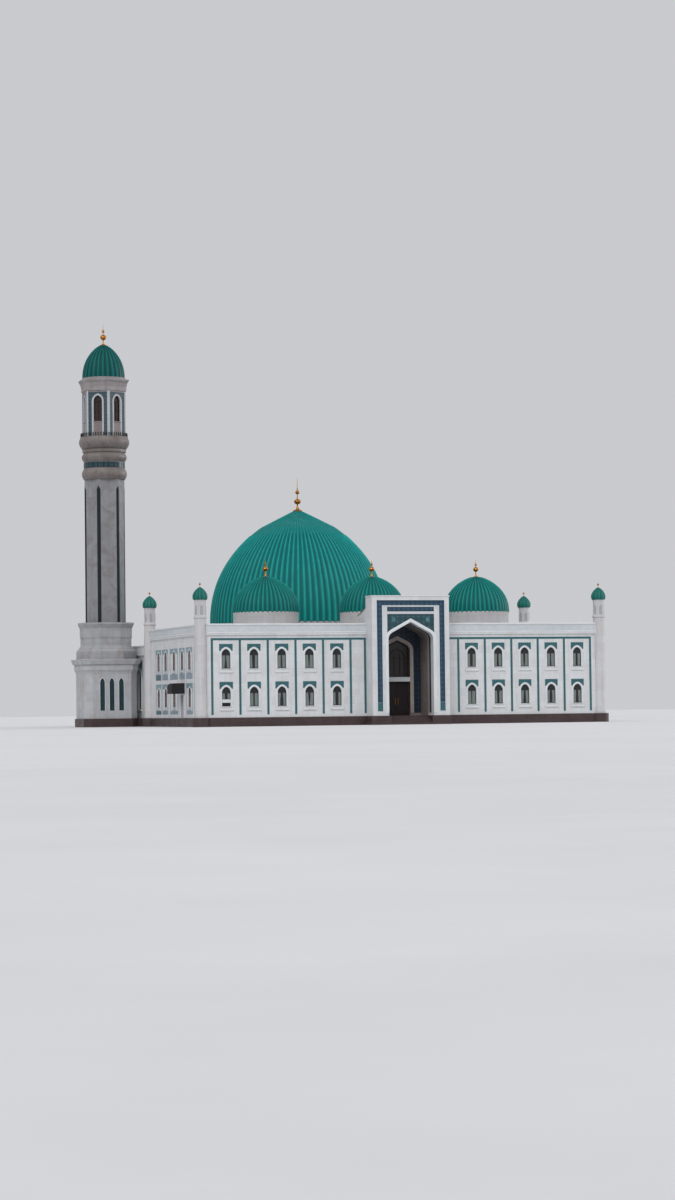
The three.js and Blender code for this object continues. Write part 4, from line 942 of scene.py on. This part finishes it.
def portal_front():
    """The portal's tile bands, white mouldings, roundels and coping."""
    put = wall(0, -PORTAL_OUT)
    navy, frieze, corners, feet, white, roundels = (Shape() for _ in range(6))
    outer, inner, top, low, foot = 4.02, 3.33, 13.95, 13.3, 2.5
    out, fillet = 0.03, 0.035
    for side in (-1, 1):
        block(navy, put, side * inner, side * outer, foot, low, SUNK, out)
        block(feet, put, side * inner, side * outer, 1.52, foot - 0.03, SUNK, out + 0.005)
    block(navy, put, -outer, outer, low, top, SUNK, out)
    block(frieze, put, -NICHE_HALF, NICHE_HALF, 12.62, 13.2, SUNK, out)
    spandrel(corners, put, PORTAL_ARCH(0.35), NICHE_HALF, 10.0, 12.41, SUNK, out)
    band(white, put, PORTAL_ARCH, [
        (-0.01, -0.1), (-0.01, 0.04), (0.03, 0.08), (0.24, 0.08), (0.29, 0.05), (0.35, 0.05),
        (0.35, SUNK), (0.02, SUNK), (0.02, -0.1)])
    # White fillets along the tile bands, the level ones between the upright ones
    for side in (-1, 1):
        for u, head in ((inner, low), (outer, top)):
            block(white, put, side * (u - fillet), side * (u + fillet), 1.5, head + fillet, SUNK, 0.06)
    for u, z in ((inner - fillet, low), (outer - fillet, top)):
        block(white, put, -u, u, z - fillet, z + fillet, SUNK, 0.06)
    for z in (12.41, 12.62, 13.2):
        block(white, put, -NICHE_HALF, NICHE_HALF, z - 0.03, z + 0.03, SUNK, 0.05)
    # Eight-lobed roundels over the arch, in three steps
    turns = [2 * pi * i / 48 for i in range(48)]
    for x in (-2.0, 2.0):
        for radius, face in ((0.25, 0.04), (0.17, 0.05), (0.08, 0.06)):
            reach = [radius + 0.02 * cos(8 * a) for a in turns]
            lobes = [(x + r * cos(a), 11.76 + r * sin(a)) for a, r in zip(turns, reach)]
            plate(roundels, put, lobes, 0.0, face)
    coping = Shape()
    section = [(-0.1, 14.3), (0.03, 14.3), (0.07, 14.36), (0.07, 14.46), (-0.1, 14.46)]
    run(coping, put, section, -PORTAL_HALF - 0.06, PORTAL_HALF + 0.06)
    for turn, x in ((-90, -PORTAL_HALF), (90, PORTAL_HALF)):
        run(coping, wall(x, -PORTAL_OUT / 2, turn), section, -PORTAL_OUT / 2, PORTAL_OUT / 2)
    for name, shape, finish in (
            ("navy_band", navy, NAVY_TILE), ("band_feet", feet, TEAL_TILE), ("frieze", frieze, NAVY_TILE),
            ("arch_corners", corners, SPANDREL_TILE), ("archivolt", white, WHITE_MARBLE),
            ("roundels", roundels, ROUNDEL_TILE), ("coping", coping, WHITE_MARBLE)):
        piece(f"portal_{name}", shape, finish)


def portal_cap():
    """White facing on the sides and the back of the cap behind the portal, and felt on its slope."""
    facing = Shape()
    half, front, back, low, eave, crest = 4.4, 0.02, 3.3, 10.42, 12.35, 13.2
    side = [(front, 11.44), (0.62, 11.44), (0.62, low), (back, low), (back, eave), (front, crest)]
    for x in (-half - 0.03, half - 0.01):
        extrude(facing, [(x, y, z) for y, z in side], (0.04, 0, 0))
    rear = [(-half, low), (half, low), (half, eave), (-half, eave)]
    extrude(facing, [(x, back - 0.01, z) for x, z in rear], (0, 0.04, 0))
    slope = [(front, crest - 0.02), (back + 0.12, eave - 0.04), (back + 0.12, eave + 0.03),
             (front, crest + 0.06)]
    felt = extrude(Shape(), [(-half - 0.08, y, z) for y, z in slope], (2 * half + 0.16, 0, 0))
    piece("portal_cap_facing", facing, MARBLE)
    piece("portal_cap_felt", felt, ROOF_FELT)


def portal_inside():
    """The arch's reveal, the niche's tiles, and the door's frame, screen and lintel."""
    put = wall(0, 0)
    strip, lining, tiles, screen = (Shape() for _ in range(4))
    for shape, arch, inset, front, back in (
            (strip, PORTAL_ARCH, -0.02, 0.82, 1.33), (lining, PORTAL_ARCH, -0.012, 0.52, 0.81),
            (lining, NICHE_ROOM, -0.012, -0.1, 0.49)):
        band(shape, put, arch, [(0.01, front), (inset, front), (inset, back), (0.01, back)])
    piece("portal_reveal_dark_strip", strip, REVEAL_DARK_STRIP)
    piece("portal_reveal_lining", lining, GREY_MARBLE_SHADED)
    # Tiles fill the back wall round the doorway's frame, in a left and a right half, darkened with painted
    # shade
    put = wall(0, NICHE_BACK)
    room, door = NICHE_ROOM(-0.01), DOORWAY(0.38)
    for side in (-1, 1):
        outer = [(side * abs(u), z) for u, z in room[:len(room) // 2 + 1]]
        inner = [(side * abs(u), z) for u, z in door[:len(door) // 2 + 1]]
        plate(tiles, put, outer + inner[::-1], SUNK, 0.03)
    piece("niche_tile_panels", tiles, NICHE_NAVY_SHADED)
    piece("doorway_frame", band(Shape(), put, DOORWAY, [
        (0.0, -0.25), (0.0, 0.05), (0.05, 0.09), (0.2, 0.09), (0.24, 0.05), (0.34, 0.05), (0.4, 0.08),
        (0.4, SUNK), (0.02, SUNK), (0.02, -0.25)]), PINK_MARBLE)
    # The screen over the lintel: a pointed frame within a frame, and upright bars
    half, sill = 1.47, 5.36
    band(screen, put, SCREEN, oblong(0.0, -0.16, -0.26, -0.08))
    block(screen, put, -half, half, sill, sill + 0.2, -0.26, -0.08)
    band(screen, put, partial(pointed, 0.95, sill + 0.2, 7.5, 8.55), oblong(0.0, -0.1, -0.24, -0.12))
    for u in (-0.34, 0.34):
        block(screen, put, u - 0.03, u + 0.03, sill + 0.2, 8.0, -0.23, -0.14)
    block(screen, put, -1.3, 1.3, 7.42, 7.52, -0.23, -0.13)
    piece("portal_screen", screen, WOOD)
    piece("portal_screen_glass", plate(Shape(), put, SCREEN(-0.02), -0.24, -0.21), SCREEN_GLASS)
    section = [(SUNK, 4.84), (0.05, 4.84), (0.09, 4.9), (0.09, 5.24), (0.14, 5.3), (0.14, 5.37), (SUNK, 5.37)]
    piece("portal_lintel_moulding", run(Shape(), put, section, -half, half), WHITE_MARBLE)


def door_leaves():
    """Raised panels on each leaf, front and back, and a pull on its front, within the leaf's edges."""
    front = NICHE_BACK + WALL_THICK - LEAF_GAP - LEAF_THICK
    for side, sign in (("left", -1), ("right", 1)):
        shape, pull = Shape(), Shape()
        for put, flip in ((wall(0, front), sign), (wall(0, front + LEAF_THICK, 180), -sign)):
            u0, u1 = sorted((flip * 0.06, flip * 1.41))
            middle = (u0 + u1) / 2
            for z0, z1 in ((1.18, 2.05), (2.2, 3.05), (3.2, 4.68)):
                for a, b in ((u0 + 0.08, middle - 0.05), (middle + 0.05, u1 - 0.08)):
                    block(shape, put, a, b, z0, z1, -0.01, 0.012)
                    block(shape, put, a + 0.05, b - 0.05, z0 + 0.05, z1 - 0.05, 0.0, 0.024)
        put = wall(0, front)
        u = sign * 0.16
        block(pull, put, u - 0.02, u + 0.02, 2.25, 3.0, 0.04, 0.07)
        for z in (2.35, 2.9):
            block(pull, put, u - 0.015, u + 0.015, z - 0.02, z + 0.02, 0.0, 0.05)
        leaf = f"portal_door_{side}"
        piece(f"{leaf}_panels", shape, WOOD, leaf, bevel=0.008)
        piece(f"{leaf}_pull", pull, GILT, leaf, bevel=0.008)


# Sides

# Each bay's tile frame: its middle and its half width
SIDE_FRAMES = ((5.5, 1.47), (8.9, 1.27), (12.86, 1.88), (17.2, 1.42), (20.5, 1.37))
# Each storey's lift, and the foot and top of its tile frames
SIDE_STOREYS = ((0.0, 1.42, 4.93), (STOREY, 5.4, 8.95))
BORDER = 0.12
CORNERS_TALL, CORNERS_HALF = 0.58, 0.9


def side_bay(shapes, x, turn, sign, bay, lift, foot, top):
    """A side window in its tile frame, with tile corners over it and a tile panel under it."""
    middle, half = SIDE_FRAMES[bay]
    sill = 2.24 + lift
    low, high = top - CORNERS_TALL, top - BORDER
    parts = window(wall(x, SIDE_BAYS[bay], turn), 0.6, sill, 3.75 + lift, 4.47 + lift, 0.15,
                   (CORNERS_HALF, low, high), (0.75, sill - 0.4, sill - 0.16, 0.14), depth=0.0,
                   proud=0.02, bar=0.03, mullion=False)
    for key, part in parts.items():
        shapes[key].join(part.points, part.faces)
    put = wall(x, middle, turn)
    tiles = shapes["corners"]
    inner = half - BORDER
    for side in (-1, 1):
        block(tiles, put, side * half, side * inner, foot, top, SUNK, 0.02)
        # The strip between the window's tile corners and the frame
        near = -sign * (middle - SIDE_BAYS[bay]) + side * CORNERS_HALF
        block(tiles, put, side * inner, near, low, high, SUNK, 0.015)
    block(tiles, put, -inner, inner, high, top, SUNK, 0.02)
    panel = "last_panels" if bay == len(SIDE_BAYS) - 1 else "panels"
    block(shapes[panel], put, -inner, inner, foot, sill - 0.42, SUNK, 0.02)


def side_walls():
    """The windows, tile frames and parapet of each side."""
    for side, x, turn, sign in SIDES:
        shapes = {key: Shape() for key in (*WINDOW_FINISH, "panels", "last_panels")}
        for bay in range(len(SIDE_BAYS)):
            for lift, foot, top in SIDE_STOREYS:
                if bay != SIDE_DOOR_BAY or lift or side == "right":
                    side_bay(shapes, x, turn, sign, bay, lift, foot, top)
        for lift, foot, top in SIDE_STOREYS:
            block(shapes["corners"], wall(x, 3.19, turn), -0.04, 0.04, foot, top, SUNK, 0.02)
        for key, shape in shapes.items():
            piece(f"side_{key}_{side}", shape, SIDE_FINISH[key])
        coping, fascia = Shape(), Shape()
        front, back = TURRET_YS
        parapet(coping, fascia, wall(x, front, turn), sign * 0.66, sign * (back - front - 0.66))
        piece(f"side_cornice_{side}", coping, WHITE_MARBLE)
        piece(f"side_fascia_{side}", fascia, FASCIA)


def hall_window(put):
    """One tall window's parts: surround with its sill, tile corners, bars and pane."""
    parts = {key: Shape() for key in HALL_FINISH}
    bars = parts["bars"]
    half, sill, spring = 0.77, 2.06, 6.0
    curve = partial(pointed, 0.8, 2.0, spring, 7.05)
    light = partial(pointed, half, sill, spring, 7.0)
    band(parts["surround"], put, curve, [
        (-0.03, -0.3), (-0.03, 0.02), (0.0, 0.06), (0.16, 0.06), (0.22, 0.03), (0.3, 0.03),
        (0.3, SUNK), (0.01, SUNK), (0.01, -0.3)])
    run(parts["surround"], put, [(-0.3, 1.98), (SUNK, 1.8), (0.1, 1.84), (0.14, 1.9), (0.14, 2.0),
                                 (-0.3, sill)], -1.15, 1.15)
    spandrel(parts["corners"], put, curve(0.3), 1.3, spring, 7.75, SUNK, 0.015)
    band(bars, put, light, oblong(0.0, -0.07, -0.28, -0.16))
    for z in (sill, 3.35, 4.65, 5.95):
        block(bars, put, -half, half, z, z + 0.07, -0.27, -0.17)
    block(bars, put, -0.035, 0.035, sill, 6.7, -0.26, -0.18)
    plate(parts["pane"], put, light(-0.01), -0.23, -0.21)
    return parts


def hall_sides():
    """The hall's tall windows, and its cornice along the sides and the back."""
    coping = Shape()
    for side, x, turn, sign in SIDES:
        run(coping, wall(x, BLOCK_DEPTH, turn), HALL_CORNICE, sign * 0.55,
            sign * (HALL_BACK - BLOCK_DEPTH + 0.2))
    run(coping, wall(0, HALL_BACK, 180), HALL_CORNICE, -HALF_WIDTH - 0.2, HALF_WIDTH + 0.2)
    piece("hall_cornice", coping, WHITE_MARBLE)
    start = -2 * HALL_PITCH
    walls = [(side, wall(x, MAIN_Y + start, turn), (0, HALL_PITCH, 0)) for side, x, turn, sign in SIDES]
    for side, put, step in (*walls, ("back", wall(start, HALL_BACK, 180), (HALL_PITCH, 0, 0))):
        for key, shape in hall_window(put).items():
            bays(f"hall_window_{key}_{side}", shape, HALL_FINISH[key], step, storeys=1)


def side_entrance():
    """Ribs on the canopy over the side door, and the door's frame, panels and pull."""
    put = wall(-HALF_WIDTH, SIDE_BAYS[SIDE_DOOR_BAY], -90)
    # A rib is the strip between the canopy's rounded skin and a line raised from it
    ribs = Shape()
    out, top, bend, thick = 1.5, 4.92, 0.45, 0.025
    skin = arc(out - bend, top - bend, bend, -pi / 2, 8, pi / 2)
    raised = arc(out - bend, top - bend, bend + thick, -pi / 2, 8, pi / 2)
    section = [(0.0, top)] + skin + [(out, 3.75), (out + thick, 3.73)] + raised[::-1] + [(0.0, top + 0.03)]
    for k in range(6):
        u = -1.03 + k * 2.06 / 5
        run(ribs, put, section, u - 0.02, u + 0.02)
    piece("canopy_ribs", ribs, CANOPY)
    trim, panels = Shape(), Shape()
    half, width, low, high = 0.65, 0.16, 1.002, 3.6
    for u0, u1, z0 in ((-half - width, -half, low), (half, half + width, low), (-half, half, high + 0.002)):
        block(trim, put, u0, u1, z0, high + width, SUNK, 0.06)
    piece("side_door_frame", trim, WHITE_MARBLE, bevel=0.01)
    face = LEAF_THICK + LEAF_GAP - WALL_THICK
    for z0, z1 in ((1.15, 1.85), (2.0, 3.42)):
        block(panels, put, -0.48, 0.5, z0, z1, face - 0.01, face + 0.012)
        block(panels, put, -0.42, 0.44, z0 + 0.06, z1 - 0.06, face, face + 0.024)
    pull = block(Shape(), put, -0.56, -0.53, 1.95, 2.15, face, face + 0.06)
    piece("side_door_panels", panels, WOOD, "side_door", bevel=0.008)
    piece("side_door_pull", pull, GILT, "side_door", bevel=0.006)


# Minaret

CORNER = radians(30)
AXIS = (TOWER.x, TOWER.y)


def corner_strip(radius, half, heights, fold, inner, outer):
    """A strip folded round a corner of a hexagon, its edge drawn out by a share to close the fold.
    The heights are those of its foot and of its tops at the inner edge and at the corner."""
    shape = Shape()
    low, spring, tip = heights
    apothem = radius * cos(CORNER)
    for turn, sign in ((30, -1), (-30, 1)):
        edge = sign * radius / 2
        near = edge - sign * half
        plate(shape, wall(0, 0, turn), [(edge * fold, low), (near, low), (near, spring), (edge * fold, tip)],
              apothem + inner, apothem + outer)
    return shape


def minaret_foot():
    """The base's slim niches, and the strips on the corners of the shaft."""
    niche, rim = Shape(), Shape()
    arch = partial(pointed, 0.29, 1.96, 5.3, 5.84)
    section = [(0.0, -0.1), (0.0, 0.02), (0.06, 0.02), (0.06, SUNK), (0.005, SUNK), (0.005, -0.1)]
    for k in (-1, 0, 1):
        put = wall(TOWER.x + k * 1.15, TOWER.y - 3.2)
        plate(niche, put, arch(), -0.36, -0.12)
        band(rim, put, arch, section)
    piece("minaret_base_niches", niche, NICHE_TILE)
    piece("minaret_base_rims", rim, WHITE_MARBLE)
    # Dark strips with pointed heads fold round the six corners of the shaft
    strip = corner_strip(SHAFT_RADIUS, 0.26, (12.52, 28.5, 28.95), 1.004, -0.03, 0.01)
    ring("minaret_corner_strips", strip, SHAFT_STRIP, 6, 30, AXIS)


def gallery():
    """Swelling rings up to the gallery, a tile band between them, a balustrade and a rail."""
    swell = [sin(pi * i / 10) for i in range(11)]
    profile = [(2.0, 29.762)]
    profile += [(2.48 + 0.235 * s, 29.762 + 0.1318 * i) for i, s in enumerate(swell)]
    profile += [(2.45, 31.1), (2.45, 31.9)]
    profile += [(2.48 + 0.23 * s, 31.92 + 0.103 * i) for i, s in enumerate(swell)]
    profile += [(2.5, 32.97), (2.56, 33.0), (2.62, 33.05), (2.63, 33.2), (2.63, 33.36), (2.57, 33.42),
                (2.66, 33.45)]
    profile += [(2.68 + 0.35 * s, 33.46 + 0.16 * i) for i, s in enumerate(swell[:9])]
    profile += [(2.86, 34.9), (0.5, 34.9), (0.5, 34.6), (2.0, 34.6)]
    faced("minaret_gallery_rings", "minaret_gallery", profile, *AXIS, 96, "gallery_marble", GALLERY_TONES,
          (1.75, 1.2), 2.6, 0.8)
    belt = lathe([(2.44, 31.14), (2.475, 31.14), (2.475, 31.82), (2.44, 31.82)], *AXIS, 96)
    tile = glazed_tile("gallery_tile_band", "#1F3941", "#172D35", "#29474F", "#3E6066", 0.4, axis=AXIS,
                       radius=2.47)
    piece("minaret_tile_band", belt, tile, smooth=True)
    bar = block(Shape(), wall(0, 0), -0.05, 0.05, 31.16, 31.8, 2.45, 2.485)
    ring("minaret_tile_accents", bar, SHAFT_STRIP, 24, 0, AXIS)
    baluster = lathe([(0, 34.895), (0.07, 34.895), (0.07, 34.95), (0.035, 34.99), (0.062, 35.12),
                      (0.035, 35.22), (0.06, 35.28), (0.05, 35.34), (0, 35.38)], 0, -2.79, 8)
    ring("minaret_balusters", baluster, IRON, 54, 0, AXIS)
    rail = lathe([(2.775, 35.2), (2.805, 35.2), (2.805, 35.225), (2.775, 35.225)], *AXIS, 96)
    piece("minaret_gallery_rail", rail, IRON, smooth=True)


def lantern():
    """Six faces with a pointed opening each: tile ground, white frame, stone panel under it."""
    face = LANTERN_RADIUS * cos(CORNER)
    back, rear, front = face - 0.2, face - 0.26, face - 0.16
    half, inside, sill, spring, apex = 0.55, 0.53, 36.6, 39.1, 39.8
    put = wall(0, 0)
    arch = partial(pointed, half, 34.92, spring, apex)
    ground, surround, apron, screen, bars = (Shape() for _ in range(5))
    spandrel(ground, put, arch(0.2), LANTERN_RADIUS / 2 - 0.17, 34.94, 40.2, face + SUNK, face + 0.012)
    band(surround, put, arch, [
        (-0.02, back), (-0.02, face + 0.02), (0.0, face + 0.03), (0.17, face + 0.03), (0.2, face + 0.02),
        (0.2, face + SUNK), (0.005, face + SUNK), (0.005, back)])
    block(apron, put, -inside, inside, 34.92, sill, face - 0.05, face + 0.02)
    run(apron, put, [(back, sill), (face + 0.06, sill - 0.03), (face + 0.08, sill + 0.02),
                     (face + 0.06, sill + 0.08), (back, sill + 0.1)], -inside - 0.01, inside + 0.01)
    # A dark sheet in each opening, painted shade
    plate(screen, put, pointed(half, sill + 0.02, spring, apex, -0.01), face - 0.28, face - 0.24)
    low = sill + 0.08
    band(bars, put, partial(pointed, inside, low, spring, 39.77), oblong(0.0, -0.06, rear, front))
    block(bars, put, -inside, inside, low, low + 0.08, rear, front)
    block(bars, put, -inside, inside, spring - 0.05, spring + 0.02, rear + 0.01, front - 0.01)
    block(bars, put, -0.02, 0.02, sill + 0.1, spring, rear + 0.01, front - 0.01)
    for name, shape, finish in (
            ("tile_ground", ground, LANTERN_TILE), ("arch_frames", surround, GREY_WHITE),
            ("aprons", apron, STONE_PANEL), ("shade_sheets", screen, LANTERN_SHADE_SHEET), ("bars", bars, WOOD)):
        ring(f"lantern_{name}", shape, finish, 6, 30, AXIS)
    pilaster = corner_strip(LANTERN_RADIUS, 0.175, (34.905, 40.39, 40.39), 1.014, -0.03, 0.035)
    ring("lantern_corner_pilasters", pilaster, GREY_WHITE, 6, 0, AXIS)


# Finishes for the solids that stay as they are; the others are plain marble
NODE_FINISH = {
    "plinth": GRANITE, "portal_steps": GRANITE, "front_roof": ROOF_FELT, "hall_roof": ROOF_FELT,
    "upper_floor": INNER_PLASTER, "portal_door_left": WOOD, "portal_door_right": WOOD, "side_door": WOOD,
    "door_canopy": CANOPY, "minaret_base": BASE_MARBLE, "minaret_pedestal": PEDESTAL_MARBLE,
    "minaret_shaft": SHAFT_MARBLE, "minaret_lantern": CROWN_MARBLE, "portal_niche": NICHE_MARBLE_SHADED,
    **dict.fromkeys(("portal_window", "hall_glass", "lower_glass_left", "lower_glass_right",
                     "upper_glass_left", "upper_glass_right"), DARK_GLASS)}


def dress_nodes():
    for name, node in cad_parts.items():
        node.data.materials.clear()
        node.data.materials.append(NODE_FINISH.get(name, MARBLE))


make_camera()
make_stage()
dress_nodes()
domes()
drums()
turrets()
front_mouldings()
front_windows()
portal_front()
portal_cap()
portal_inside()
door_leaves()
side_walls()
hall_sides()
side_entrance()
minaret_foot()
gallery()
lantern()
